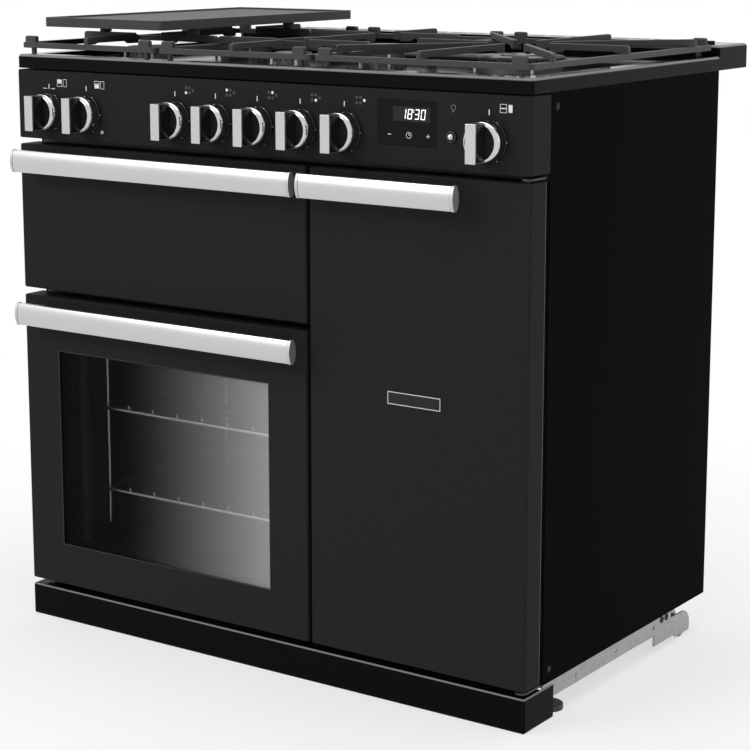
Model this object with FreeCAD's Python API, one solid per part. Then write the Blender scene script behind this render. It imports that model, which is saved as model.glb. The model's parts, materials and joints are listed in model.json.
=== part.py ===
import FreeCAD, Part
import math
import os

# Freestanding range cooker, 90 cm wide: gas hob with five burners and a griddle
# plate, grill with a drop-down door, main oven with a glazed drop-down door and a
# tall oven with a side-hung door. Lengths are in millimetres. +Z is up, +Y is to
# the rear, and the origin is the middle of the floor area that the cooker covers.
# "Depth" means the distance behind the plane of the door faces.

# ---------------------------------------------------------------- overall sizes
width = 900.0
rim_height = 879.5
hob_depth = 635.5
body_depth = 541.6
body_start = 47.7
knob_reach = 46.0

# ---------------------------------------------------------------- sheet and fits
sheet = 1.2
panel_wall = 1.5
moving_gap = 0.3
running_fit = 0.05
joint_line = 0.3
overcut = 1.0

# ---------------------------------------------------------------- front layout
plinth_height = 49.1
plinth_return = 77.8
plinth_flange = 20.0
plinth_clearance = 2.0
door_over_plinth = 9.1
door_gap = 10.8
grill_door_height = 221.3
door_under_panel = 9.0
control_panel_height = 103.1
hob_skirt = 20.6
panel_under_skirt = 2.1
left_door_width = 539.8
door_side_gap = 6.0
door_thickness = 38.5
door_corner = 3.0
panel_corner = 2.5
hinge_inset = 12.0

# ---------------------------------------------------------------- door hinges
hinge_arm_inset = 40.0
arm_width = 4.0
arm_gap = 0.5
arm_half_height = 4.2
arm_drop = 3.0
arm_foot_half = 9.0
arm_foot_below = 2.0
arm_foot_above = 14.0
ear_width = 3.0
ear_radius = 8.0
pin_radius = 3.0
side_leaf_gap = 2.5
side_leaf = 3.0
side_leaf_half = 9.0
side_pin_reach = 9.0
side_flange_reach = 7.0
bearing_half = 8.0
bearing_height = 9.0

# ---------------------------------------------------------------- body
body_floor = 54.7
side_fold = 14.0
louvre_rows = 4
louvre_columns = 9
louvre_pitch = 60.0
louvre_row_pitch = 16.0
louvre_length = 40.0
louvre_slot = 5.0
louvre_drop = 60.0
panel_hole_margin = 1.5
liner_wall = 1.5
liner_flange = 16.0
seal_width = 9.0
seal_offset = 4.0
outer_cavity_inset = 88.0
inner_cavity_inset = 40.0
right_cavity_inset = 38.0
frame_window_inset = 40.0
main_cavity_floor = 55.0
main_cavity_ceiling = 40.0
grill_cavity_floor = 38.0
grill_cavity_ceiling = 28.0
oven_depth = 400.0
grill_depth = 350.0
frame_window_height = 90.0
frame_window_sill = 8.0

# ---------------------------------------------------------------- main door window
window_inset_left = 67.5
window_inset_right = 66.5
window_inset_top = 81.5
window_inset_bottom = 65.0
window_corner = 3.0
pane = 4.0
pane_overlap = 14.0

# ---------------------------------------------------------------- handles
handle_height = 33.0
handle_edge = 7.0
handle_bulge = 4.0
handle_standoff = 31.0
handle_post = 6.5
handle_post_inset = 32.0
handle_end_gap_left = 19.0
handle_past_door = 1.5
handle_drop = 5.8
main_handle_drop = 7.2
tall_handle_inset = 6.5
tall_handle_length = 255.0
end_cap = 4.5
end_cap_edge = 0.6

# ---------------------------------------------------------------- knobs and display
knob_drop = 60.9
knob_radius = 29.0
knob_ring_radius = 26.5
knob_face_radius = 21.5
knob_skirt_depth = 9.0
knob_ring_depth = 23.0
knob_face_depth = 20.0
knob_gap = 0.8
blade_width = 17.5
blade_height = 51.7
blade_plate = 3.2
blade_core_width = 13.5
blade_core_inset = 1.2
blade_cheek_side = 1.0
blade_cheek_inset = 7.0
blade_root = 2.0
knob_taper = 1.5
knob_ring_step = 0.6
spindle_radius = 4.0
spindle_engagement = 14.0
spindle_hole = 5.5
oven_knob_inset = 63.5
knob_pitch = 74.4
burner_knob_inset = 308.4
burner_knob_count = 5
tall_knob_inset = 64.6
display_from_right = 191.2
display_width = 95.6
display_height = 61.7
display_drop = 44.0
display_corner = 3.0
display_glass = 3.0
display_fit = 0.1
clock_depth = 26.0
clock_margin = 4.0
button_from_right = 121.3
button_drop = 58.3
button_radius = 4.8
button_stem = 3.0
button_collar = 7.6
button_collar_depth = 3.0
button_travel = 3.0
button_reach = 9.0
button_proud = 2.5
lamp_switch = 18.0
neon_from_left = 168.2
neon_drop = 86.5
neon_radius = 2.6
neon_proud = 1.2
neon_reach = 6.0

# ---------------------------------------------------------------- hob
hob_corner = 5.0
rim_width = 26.0
well_depth = 12.5
upstand_depth = 92.0
upstand_rise = 16.0
support_inset = 4.0
support_gap = 4.0
support_left_width = 263.0
support_centre_width = 274.0
rail_width = 8.0
rail_height = 8.0
rail_clearance = 9.5
support_depth = 525.0
finger_rise = 11.0
finger_width = 7.0
finger_reach = 30.0
wok_finger_reach = 48.0
finger_root = 24.0
finger_undercut = 9.0
finger_tip = 20.0
finger_slope = 7.0
finger_toe_drop = 2.0
finger_chamfer = 3.0
slant_angle = 40.0
lug_chamfer = 1.5
lug_width = 20.0
lug_height = 10.0
support_corner = 10.0
foot_radius = 4.0

# ---------------------------------------------------------------- burners
small_burner = 25.0
medium_burner = 32.0
large_burner = 42.0
wok_burner = 60.0
wok_inner = 21.0
burner_offset = 118.0
cup_height = 7.0
cup_flange = 4.0
cup_fit = 0.5
cup_wall = 9.0
cup_drop = 12.0
cup_sink = 4.0
ring_step = 1.0
ring_roof = 2.0
wok_inner_bore = 8.0
slot_depth = 7.0
slot_sill = 3.0
cap_rim = 2.5
wok_inner_rise = 1.5
ring_height = 10.0
cap_height = 5.0
cap_overlap = 3.0
burner_slots = 20
slot_width = 2.2
electrode_radius = 2.2
electrode_height = 13.0
electrode_gap = 6.0
electrode_angle = 45.0

# ---------------------------------------------------------------- griddle plate
griddle_width = 236.0
griddle_depth = 480.0
griddle_thickness = 14.0
griddle_side_inset = 12.0
griddle_front_inset = 46.0
griddle_lip = 8.0
griddle_dish = 2.5
griddle_corner = 9.0
griddle_foot = 9.0
griddle_foot_height = 11.0
griddle_foot_left = 34.0
griddle_foot_right = 26.0

# ---------------------------------------------------------------- ovens
ladder_wire = 2.5
ladder_post = 2.8
ladder_stub = 2.1
ladder_inset = 30.0
ladder_stand_off = 5.0
shelf_wire = 3.0
shelf_rod = 1.8
shelf_rods = 16
shelf_gap = 1.5
shelf_overhang = 12.0
shelf_end_wire = 3.3
shelf_stub_inset = 40.0
trivet_drop = 10.0
trivet_gap = 4.0
main_runner_first = 90.0
main_runner_top = 74.4
main_runner_count = 4
tall_runner_first = 120.0
tall_runner_top = 58.5
tall_runner_count = 6
ladder_end_inset = 35.0
shelf_every = 2
shelf_stub = 2.5
fan_radius = 68.0
fan_blades = 9
fan_hub = 12.0
fan_depth = 26.0
fan_plate = 1.2
fan_shaft = 4.0
shaft_clearance = 2.0
tall_fan_rise = 374.2
fan_wall_gap = 6.0
fan_blade = 1.6
fan_blade_lean = 18.0
fan_blade_start = 0.45
fan_hub_short = 6.0
cover_from_back = 48.0
cover_wall = 1.2
cover_width = 250.0
cover_height = 240.0
cover_slots = 7
cover_slot = 6.0
cover_slot_pitch = 15.0
cover_slot_length = 84.0
element_ring = 92.0
element_tube = 3.5
motor_radius = 34.0
motor_length = 42.0
grill_tube = 3.5
grill_loops = 4
grill_loop_length = 250.0
grill_drop = 18.0
grill_side_gap = 30.0
grill_rear_gap = 40.0
element_stand_off = 20.0
element_tail = 9.0
pan_height = 32.0
pan_wall = 1.2
pan_side_gap = 8.0
pan_front_inset = 12.0
pan_rear_gap = 30.0
pan_level = 44.0
ledge_lap = 10.0
ledge_thickness = 2.0
lamp_radius = 22.0
lamp_depth = 6.0
lamp_inset = 40.0

# ---------------------------------------------------------------- underframe
base_rail_height = 25.0
base_rail_flange = 42.0
base_rail_wall = 2.0
base_rail_end = 435.0
rail_holes = 3
rail_hole_start = 92.0
rail_hole_pitch = 118.0
rail_hole = 3.0
bracket_start = 385.0
bracket_wall = 2.5
bracket_rise = 41.0
bracket_skirt = 6.0
bracket_nose_skirt = 11.0
bracket_bridge = 50.0
axle_end = 1.0
roller_depth = 478.0
roller_radius = 17.0
roller_width = 18.0
roller_axle = 4.0
roller_rim = 2.0
roller_side_gap = 0.5
foot_pad = 19.0
foot_pad_height = 8.0
foot_pad_rim = 2.0
foot_depth = 108.0
foot_spindle = 5.0
foot_clearance = 0.2
foot_nut = 9.0
foot_nut_height = 7.0

# ---------------------------------------------------------------- gas and mains
gas_rail_radius = 7.0
tap_body = 24.0
tap_depth = 30.0
switch_body = 44.0
switch_depth = 26.0
pipe_radius = 3.5
pipe_pitch = 8.5
pipe_lane = 9.0
first_lane = 70.0
feed_lane = 120.0
gas_inlet_radius = 10.5
gas_inlet_drop = 58.9
gas_inlet_side = 60.0
gas_inlet_length = 34.0
gas_inlet_bore = 7.5
gas_bore_depth = 20.0
terminal_width = 90.0
terminal_height = 70.0
terminal_depth = 38.0
terminal_side = 110.0
terminal_level = 300.0
cable_hole = 9.0
terminal_wall = 2.5
gland_length = 6.0
gland_wall = 4.0
screw_head = 5.0
screw_height = 1.6
screw_inset = 17.5
screw_rise = 19.0
bracket_screws = 2
bracket_screw_pitch = 15.0
bracket_screw_rise = 6.0
bracket_screw_height = 1.0
trim_screw = 6.5
trim_screw_height = 4.0
trim_screw_inset = 38.0
trim_screw_rim = 1.5
trim_depth = 46.0
trim_height = 3.0
trim_side_inset = 70.0
trim_slots = 19
trim_slot_width = 9.0
trim_end = 30.0
trim_web = 8.0
trim_rim = 1.2

# ---------------------------------------------------------------- worked out
half = width / 2.0
front = -(hob_depth + knob_reach) / 2.0 + knob_reach
rear = front + hob_depth
body_front = front + body_start
body_rear = front + body_depth
skirt_bottom = rim_height - hob_skirt
well_floor = rim_height - well_depth
panel_top = skirt_bottom - panel_under_skirt
panel_bottom = panel_top - control_panel_height
grill_top = panel_bottom - door_under_panel
grill_bottom = grill_top - grill_door_height
main_top = grill_bottom - door_gap
main_bottom = plinth_height + door_over_plinth
left_edge = -half
left_door_right = left_edge + left_door_width
right_door_left = left_door_right + door_side_gap
liner_front = body_front
frame_front = body_front + liner_wall
frame_rear = frame_front + panel_wall
inner_half = half - sheet
knob_level = panel_top - knob_drop
door_back = front + door_thickness
liner_plate = front + door_thickness - panel_wall
rail_top = rim_height + rail_clearance + rail_height
rail_bottom = rim_height + rail_clearance
finger_top = rail_top + finger_rise
support_front = front + support_inset
support_rear = support_front + support_depth
X_AXIS = FreeCAD.Vector(1, 0, 0)
Y_AXIS = FreeCAD.Vector(0, 1, 0)
Z_AXIS = FreeCAD.Vector(0, 0, 1)


def block(x0, x1, y0, y1, z0, z1):
    """Box between two corners."""
    return Part.makeBox(x1 - x0, y1 - y0, z1 - z0, FreeCAD.Vector(x0, y0, z0))


def rod(start, end, radius):
    """Round bar between two points."""
    line = FreeCAD.Vector(*end) - FreeCAD.Vector(*start)
    return Part.makeCylinder(radius, line.Length, FreeCAD.Vector(*start), line)


def joined(shapes):
    """All shapes as one solid without seams."""
    first = shapes[0]
    if len(shapes) == 1:
        return first
    return first.multiFuse(shapes[1:]).removeSplitter()


def group(shapes):
    """Separate solids kept together in one node."""
    solids = []
    for shape in shapes:
        solids.extend(shape.Solids)
    return Part.makeCompound(solids)


def mirrored(shape):
    """The same shape on the other side of the cooker."""
    return shape.mirror(FreeCAD.Vector(0, 0, 0), X_AXIS)


def edges_where(shape, test):
    """Edges whose two ends and middle all pass a test on (x, y, z)."""
    chosen = []
    for edge in shape.Edges:
        points = [vertex.Point for vertex in edge.Vertexes]
        points.append(edge.valueAt((edge.FirstParameter + edge.LastParameter) / 2.0))
        if all(test(point) for point in points):
            chosen.append(edge)
    return chosen


def near(first, second):
    """True when two lengths are the same to a hundredth."""
    return abs(first - second) < 0.01


def rounded_block(x0, x1, y0, y1, z0, z1, radius):
    """Box with its front edges and its four front-to-back edges rounded."""
    solid = block(x0, x1, y0, y1, z0, z1)

    def wanted(point):
        on_front = near(point.y, y0)
        on_corner = (near(point.x, x0) or near(point.x, x1)) and (near(point.z, z0) or near(point.z, z1))
        return on_front or on_corner
    return solid.makeFillet(radius, edges_where(solid, wanted))


def pressed_tray(x0, x1, y0, y1, z0, z1, wall, radius):
    """Sheet-metal front with returns, open to the rear."""
    outer = rounded_block(x0, x1, y0, y1, z0, z1, radius)
    inner = rounded_block(x0 + wall, x1 - wall, y0 + wall, y1 + wall, z0 + wall, z1 - wall,
                          radius - wall)
    return outer.cut(inner)


def upright_prism(points, x0, x1):
    """Outline in the (y, z) plane carried from x0 to x1."""
    corners = [FreeCAD.Vector(x0, y, z) for y, z in points]
    face = Part.Face(Part.makePolygon(corners + corners[:1]))
    return face.extrude(FreeCAD.Vector(x1 - x0, 0, 0))


def window_prism(x0, x1, z0, z1, y0, y1, radius):
    """Rounded rectangle in the (x, z) plane carried from y0 to y1."""
    solid = block(x0, x1, y0, y1, z0, z1)
    corners = edges_where(solid, lambda p: (near(p.x, x0) or near(p.x, x1))
                          and (near(p.z, z0) or near(p.z, z1)))
    return solid.makeFillet(radius, corners)


# ---------------------------------------------------------------- cavities
def cavity_box(name):
    """Inside of an oven: x0, x1, z0, z1 and its rear depth."""
    if name == "main":
        return (left_edge + outer_cavity_inset, left_door_right - inner_cavity_inset,
                main_bottom + main_cavity_floor, main_top - main_cavity_ceiling,
                frame_front + oven_depth)
    if name == "grill":
        return (left_edge + outer_cavity_inset, left_door_right - inner_cavity_inset,
                grill_bottom + grill_cavity_floor, grill_top - grill_cavity_ceiling,
                frame_front + grill_depth)
    return (right_door_left + right_cavity_inset, half - right_cavity_inset,
            main_bottom + main_cavity_floor, grill_top - grill_cavity_ceiling,
            frame_front + oven_depth)


def fan_centre(name):
    """Middle of a fan: x, z and the plane of the cavity's rear wall."""
    x0, x1, z0, z1, back = cavity_box(name)
    level = (z0 + z1) / 2.0
    if name == "tall":
        level = z0 + tall_fan_rise
    return (x0 + x1) / 2.0, level, back


def cavity(name):
    """Enamelled steel liner with a flange round its mouth."""
    x0, x1, z0, z1, back = cavity_box(name)
    shell = block(x0 - liner_wall, x1 + liner_wall, liner_front, back + liner_wall,
                  z0 - liner_wall, z1 + liner_wall)
    flange = block(x0 - liner_flange, x1 + liner_flange, liner_front, frame_front,
                   z0 - liner_flange, z1 + liner_flange)
    inside = block(x0, x1, liner_front - liner_wall, back, z0, z1)
    body = joined([shell, flange]).cut(inside)
    if name != "grill":
        x, z, wall = fan_centre(name)
        hole = rod((x, wall - liner_wall, z), (x, wall + liner_wall * 2.0, z), fan_shaft + shaft_clearance)
        body = body.cut(hole)
    if name == "main":
        body = body.cut(lamp_lens_solid(moving_gap))
    return body


def seal(name):
    """Rope gasket on the liner's flange, a moving gap short of the door's back."""
    x0, x1, z0, z1, back = cavity_box(name)
    outer = seal_offset + seal_width
    ring = window_prism(x0 - outer, x1 + outer, z0 - outer, z1 + outer,
                        door_back + moving_gap, liner_front, seal_width)
    hollow = window_prism(x0 - seal_offset, x1 + seal_offset, z0 - seal_offset, z1 + seal_offset,
                          door_back, liner_front + overcut, seal_offset)
    return ring.cut(hollow)


def lamp_lens_solid(extra):
    """Round glass over the oven lamp, high in the left of the main oven's rear wall."""
    x0, x1, z0, z1, back = cavity_box("main")
    x = x0 + lamp_inset
    z = z1 - lamp_inset
    return rod((x, back - lamp_depth, z), (x, back + liner_wall + extra, z), lamp_radius + extra)


# ---------------------------------------------------------------- body
def side_screw_places():
    """Depth position and height of each screw in a side panel."""
    y = body_front + screw_inset
    return [(y, body_floor + screw_rise), (y, skirt_bottom - joint_line - screw_rise)]


def side_panel():
    """Right side sheet with flanges folded in at its top, bottom and rear."""
    fold = side_fold
    web = block(inner_half, half, body_front, body_rear, body_floor, skirt_bottom - joint_line)
    for y, z in side_screw_places():
        web = web.cut(rod((inner_half - 1.0, y, z), (half + 1.0, y, z), screw_head + joint_line))
    folds = [
        block(half - fold, half, body_front, body_rear, body_floor, body_floor + sheet),
        block(half - fold, half, frame_rear, body_rear, skirt_bottom - joint_line - sheet,
              skirt_bottom - joint_line),
        block(half - fold, half, body_rear - sheet, body_rear, body_floor, skirt_bottom - joint_line),
    ]
    return joined([web] + folds).cut(block(0, inner_half, body_front, frame_rear, body_floor, rim_height))


def front_frame():
    """Steel front plate with the cavity mouths and a window for the pipes and wires."""
    plate = block(-inner_half, inner_half, frame_front, frame_rear,
                  body_floor + sheet, skirt_bottom - joint_line)
    cuts = []
    for name in ("main", "grill", "tall"):
        x0, x1, z0, z1, back = cavity_box(name)
        cuts.append(block(x0 - liner_wall, x1 + liner_wall, frame_front - 1.0, frame_rear + 1.0,
                          z0 - liner_wall, z1 + liner_wall))
    sill = panel_bottom + frame_window_sill
    cuts.append(block(-half + frame_window_inset, half - frame_window_inset, frame_front - 1.0,
                      frame_rear + 1.0, sill, sill + frame_window_height))
    return plate.cut(cuts[0].multiFuse(cuts[1:]))


def base_tray():
    """Bottom sheet that closes the body between the rails."""
    return block(-inner_half, inner_half, frame_rear, body_rear - sheet,
                 body_floor + sheet, body_floor + sheet * 2.0)


def rear_panel():
    """Rear sheet with cooling louvres, the gas pipe's hole and the cable hole."""
    plate = block(-half + side_fold, half - side_fold, body_rear - sheet * 2.0, body_rear - sheet,
                  body_floor + sheet * 2.0, skirt_bottom - joint_line)
    behind = body_rear + overcut
    before = body_rear - sheet * 2.0 - overcut
    slots = []
    for row in range(louvre_rows):
        for column in range(louvre_columns):
            x = (column - (louvre_columns - 1) / 2.0) * louvre_pitch
            z = skirt_bottom - louvre_drop - row * louvre_row_pitch
            slots.append(block(x - louvre_length / 2.0, x + louvre_length / 2.0, before, behind,
                               z, z + louvre_slot))
    x, z = gas_inlet_place()
    slots.append(rod((x, before, z), (x, behind, z), gas_inlet_radius + panel_hole_margin))
    return plate.cut(slots[0].multiFuse(slots[1:]))


def plinth():
    """Gloss base front on the floor, with two short side returns."""
    outer = rounded_block(-half, half, front, front + plinth_return, 0.0, plinth_height, door_corner)
    inner = rounded_block(-half + panel_wall, half - panel_wall, front + panel_wall,
                          front + plinth_return + 5.0, -20.0, plinth_height - panel_wall,
                          door_corner - panel_wall)
    opening = block(-half + panel_wall, half - panel_wall, front + body_start - plinth_clearance,
                    front + plinth_return + 5.0, -20.0, plinth_height + 5.0)
    foot = block(-half + panel_wall, half - panel_wall, front + panel_wall,
                 front + plinth_flange, 0.0, panel_wall)
    floor_cut = block(-half, half, front, front + plinth_return, -20.0, 0.0)
    shell = outer.cut(inner).cut(opening).cut(floor_cut)
    return joined([shell, foot])


def base_rails():
    """Galvanised side rails with the rear roller brackets riveted to them."""
    outer = half - panel_wall - joint_line
    start = frame_rear
    end = front + base_rail_end
    web = block(outer - base_rail_wall, outer, start, end, body_floor - base_rail_height, body_floor)
    flange = block(outer - base_rail_flange, outer, start, end, body_floor - base_rail_wall, body_floor)
    holes = []
    for step in range(rail_holes):
        y = start + rail_hole_start + step * rail_hole_pitch
        z = body_floor - base_rail_height / 2.0
        holes.append(rod((outer - base_rail_flange, y, z), (outer + overcut, y, z), rail_hole))
    foot_hole = rod((foot_x(), front + foot_depth, body_floor - base_rail_height),
                    (foot_x(), front + foot_depth, body_floor + overcut), foot_spindle + foot_clearance)
    rail = joined([web, flange]).cut(holes[0].multiFuse(holes[1:] + [foot_hole]))
    rail_in = outer - base_rail_wall
    y0 = front + bracket_start
    y1 = front + roller_depth
    cheek_in = rail_in - bracket_wall * 2.0 - roller_width - roller_side_gap * 2.0
    nose_radius = bracket_rise - roller_radius
    cheeks = []
    for x in (rail_in - bracket_wall, cheek_in):
        plate = block(x, x + bracket_wall, y0, y1, roller_radius - bracket_skirt, bracket_rise)
        nose = rod((x, y1, roller_radius), (x + bracket_wall, y1, roller_radius), nose_radius)
        nose = nose.common(block(x, x + bracket_wall, y0, y1 + nose_radius,
                                 roller_radius - bracket_nose_skirt, bracket_rise))
        cheeks.append(joined([plate, nose]))
    bridge = block(cheek_in, rail_in, y0, y0 + bracket_bridge, bracket_rise - bracket_wall, bracket_rise)
    lift = block(cheek_in, rail_in, y0, y0 + bracket_wall, bracket_rise - bracket_wall,
                 body_floor - base_rail_wall)
    axle = rod((cheek_in - axle_end, y1, roller_radius), (rail_in, y1, roller_radius), roller_axle)
    bracket = joined(cheeks + [bridge, lift, axle])
    return group([rail, bracket, mirrored(rail), mirrored(bracket)])


def foot_x():
    """Distance of a levelling foot from the middle."""
    return half - panel_wall - joint_line - base_rail_flange / 2.0


def roller():
    """Right rear roller on its axle."""
    outer = half - panel_wall - joint_line - base_rail_wall
    x1 = outer - bracket_wall - roller_side_gap
    x0 = x1 - roller_width
    y = front + roller_depth
    wheel = rod((x0, y, roller_radius), (x1, y, roller_radius), roller_radius)
    rims = edges_where(wheel, lambda p: near(p.x, x0) or near(p.x, x1))
    wheel = wheel.makeFillet(roller_rim, rims)
    return wheel.cut(rod((x0 - overcut, y, roller_radius), (x1 + overcut, y, roller_radius),
                         roller_axle + running_fit))


def levelling_feet():
    """Front feet: pad, threaded spindle and hexagonal nut under each rail."""
    x = foot_x()
    y = front + foot_depth
    pad = rod((x, y, 0.0), (x, y, foot_pad_height), foot_pad)
    pad = pad.makeFillet(foot_pad_rim, edges_where(pad, lambda p: near(p.z, foot_pad_height)))
    spindle = rod((x, y, foot_pad_height), (x, y, body_floor - joint_line), foot_spindle)
    sides = []
    for corner in range(6):
        angle = math.radians(60.0 * corner)
        sides.append(FreeCAD.Vector(x + foot_nut * math.cos(angle), y + foot_nut * math.sin(angle),
                                    body_floor - base_rail_wall - foot_nut_height))
    nut = Part.Face(Part.makePolygon(sides + sides[:1])).extrude(FreeCAD.Vector(0, 0, foot_nut_height))
    foot = joined([pad, spindle, nut])
    return group([foot, mirrored(foot)])


# ---------------------------------------------------------------- doors
def hinge_places(x0, x1):
    """Middle of each drop-down hinge arm of a door from x0 to x1."""
    return (x0 + hinge_arm_inset, x1 - hinge_arm_inset)


def drop_door_skin(x0, x1, z0, z1):
    """Outer tray of a drop-down door, slotted below for its hinge arms."""
    skin = pressed_tray(x0, x1, front, liner_plate, z0, z1, panel_wall, door_corner)
    slot_half = arm_width / 2.0 + arm_gap
    for x in hinge_places(x0, x1):
        skin = skin.cut(block(x - slot_half, x + slot_half, front + panel_wall + arm_gap, door_back,
                              z0 - overcut, z0 + panel_wall + arm_gap))
    return skin


def drop_door_liner(x0, x1, z0, z1):
    """Inner sheet of a drop-down door with a pair of hinge ears at each arm."""
    plate = window_prism(x0, x1, z0, z1, liner_plate, door_back, door_corner)
    slot_half = arm_width / 2.0 + arm_gap
    y = front + hinge_inset
    z = z0 + hinge_inset
    ears = []
    for x in hinge_places(x0, x1):
        plate = plate.cut(block(x - slot_half, x + slot_half, liner_plate - 1.0, door_back + 1.0,
                                z0 - 1.0, z0 + hinge_inset))
        for side in (-1.0, 1.0):
            a = x + side * slot_half
            b = a + side * ear_width
            ear = block(min(a, b), max(a, b), y, liner_plate, z - ear_radius, z + ear_radius)
            eye = rod((min(a, b), y, z), (max(a, b), y, z), ear_radius)
            bore = rod((min(a, b) - 1.0, y, z), (max(a, b) + 1.0, y, z), pin_radius + running_fit)
            ears.append(joined([ear, eye]).cut(bore))
    return joined([plate] + ears)


def drop_hinge_arms(x0, x1, z0):
    """Arms from the front frame to the hinge pins of a drop-down door."""
    y = front + hinge_inset
    z = z0 + hinge_inset
    foot_z = z0 - arm_drop
    reach = FreeCAD.Vector(0, frame_front - y, foot_z - z)
    across = FreeCAD.Vector(0, -reach.z, reach.y).normalize() * arm_half_height
    arms = []
    for x in hinge_places(x0, x1):
        corners = [FreeCAD.Vector(x - arm_width / 2.0, y, z) + across,
                   FreeCAD.Vector(x - arm_width / 2.0, y, z) - across,
                   FreeCAD.Vector(x - arm_width / 2.0, frame_front, foot_z) - across,
                   FreeCAD.Vector(x - arm_width / 2.0, frame_front, foot_z) + across]
        arm = Part.Face(Part.makePolygon(corners + corners[:1])).extrude(X_AXIS * arm_width)
        eye = rod((x - arm_width / 2.0, y, z), (x + arm_width / 2.0, y, z), arm_half_height + 1.0)
        reach_x = arm_width / 2.0 + arm_gap + ear_width
        pin = rod((x - reach_x, y, z), (x + reach_x, y, z), pin_radius)
        foot = block(x - arm_foot_half, x + arm_foot_half, liner_front, frame_front,
                     foot_z - arm_foot_below, foot_z + arm_foot_above)
        past_frame = block(x - arm_foot_half, x + arm_foot_half, frame_front, frame_front + arm_foot_above,
                           foot_z - arm_foot_above, foot_z + arm_foot_above)
        arms.append(joined([arm, eye, pin, foot]).cut(past_frame))
    return arms


def side_hinge_plates():
    """Flat plates above and below the tall door, each with an upright pin."""
    x = half - hinge_inset
    y = front + hinge_inset
    plates = []
    for edge, way in ((main_bottom, -1.0), (grill_top, 1.0)):
        z_near = edge + way * side_leaf_gap
        z_far = z_near + way * side_leaf
        low, high = min(z_near, z_far), max(z_near, z_far)
        leaf = block(x - side_leaf_half, x + side_leaf_half, y, frame_front, low, high)
        eye = rod((x, y, low), (x, y, high), side_leaf_half)
        pin_tip = edge - way * side_pin_reach
        pin = rod((x, y, min(pin_tip, z_near)), (x, y, max(pin_tip, z_near)), pin_radius)
        flange_end = edge + way * side_flange_reach
        flange = block(x - side_leaf_half, x + side_leaf_half, liner_front, frame_front,
                       min(z_near, flange_end), max(z_near, flange_end))
        plates.append(joined([leaf, eye, pin, flange]))
    return plates


def door_hinges():
    """Every hinge piece that is fixed to the front frame."""
    arms = drop_hinge_arms(left_edge, left_door_right, main_bottom)
    arms += drop_hinge_arms(left_edge, left_door_right, grill_bottom)
    return group(arms + side_hinge_plates())


def tall_door_skin():
    """Outer tray of the side-hung door, bored for its hinge pins."""
    skin = pressed_tray(right_door_left, half, front, liner_plate, main_bottom, grill_top,
                        panel_wall, door_corner)
    return skin.cut(hinge_bore())


def hinge_bore():
    """Bore through both ends of the side-hung door on its hinge line."""
    x = half - hinge_inset
    y = front + hinge_inset
    return rod((x, y, main_bottom - 1.0), (x, y, grill_top + 1.0), pin_radius + running_fit)


def tall_door_liner():
    """Inner sheet of the side-hung door with a bearing block at each pin."""
    plate = window_prism(right_door_left, half, main_bottom, grill_top, liner_plate, door_back, door_corner)
    x = half - hinge_inset
    y = front + hinge_inset
    parts = [plate]
    low = main_bottom + panel_wall + moving_gap
    high = grill_top - panel_wall - moving_gap - bearing_height
    for z0 in (low, high):
        parts.append(block(x - bearing_half, x + bearing_half, y - bearing_half, liner_plate,
                           z0, z0 + bearing_height))
    return joined(parts).cut(hinge_bore())


def main_window():
    """Edges of the main oven's window: x0, x1, z0, z1."""
    return (left_edge + window_inset_left, left_door_right - window_inset_right,
            main_bottom + window_inset_bottom, main_top - window_inset_top)


def main_door_skin():
    """Outer tray of the main oven's door with its window."""
    x0, x1, z0, z1 = main_window()
    skin = drop_door_skin(left_edge, left_door_right, main_bottom, main_top)
    opening = window_prism(x0, x1, z0, z1, front - overcut, front + panel_wall + overcut, window_corner)
    return skin.cut(opening)


def main_door_liner():
    """Inner sheet of the main oven's door with its window."""
    x0, x1, z0, z1 = main_window()
    liner = drop_door_liner(left_edge, left_door_right, main_bottom, main_top)
    return liner.cut(window_prism(x0, x1, z0, z1, liner_plate - overcut, door_back + overcut, window_corner))


def door_pane(y0):
    """One pane of the main oven's door, lapping the window all round."""
    x0, x1, z0, z1 = main_window()
    return block(x0 - pane_overlap, x1 + pane_overlap, y0, y0 + pane, z0 - pane_overlap, z1 + pane_overlap)


def handle(x0, x1, z_top):
    """Bar of lens-shaped section with two end caps, standing on two posts."""
    z0 = z_top - handle_height
    back = front - handle_standoff
    face = back - handle_edge - handle_bulge
    mid = (z0 + z_top) / 2.0
    flat = back - handle_edge

    def section(x, grow):
        low, high = z0 - grow, z_top + grow
        nose = Part.Arc(FreeCAD.Vector(x, flat, low), FreeCAD.Vector(x, face - grow, mid),
                        FreeCAD.Vector(x, flat, high)).toShape()
        top = Part.makeLine(FreeCAD.Vector(x, flat, high), FreeCAD.Vector(x, back, high))
        tail = Part.Arc(FreeCAD.Vector(x, back, high), FreeCAD.Vector(x, back + handle_bulge + grow, mid),
                        FreeCAD.Vector(x, back, low)).toShape()
        under = Part.makeLine(FreeCAD.Vector(x, back, low), FreeCAD.Vector(x, flat, low))
        return Part.Face(Part.Wire([nose, top, tail, under]))
    bar = section(x0 + end_cap, 0.0).extrude(X_AXIS * (x1 - x0 - end_cap * 2.0))
    pieces = [bar]
    for x in (x0, x1 - end_cap):
        pieces.append(section(x, end_cap_edge).extrude(X_AXIS * end_cap))
    for x in (x0 + handle_post_inset, x1 - handle_post_inset):
        post = rod((x, back + handle_bulge / 2.0, mid), (x, front, mid), handle_post)
        pieces.append(post.cut(bar))
    return group(pieces)


def left_handle(z_top):
    """Handle across a left-hand door."""
    return handle(left_edge + handle_end_gap_left, left_door_right + handle_past_door, z_top)


def tall_handle():
    """Handle at the free side of the tall oven's door."""
    x0 = right_door_left + tall_handle_inset
    return handle(x0, x0 + tall_handle_length, grill_top - handle_drop)


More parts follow.
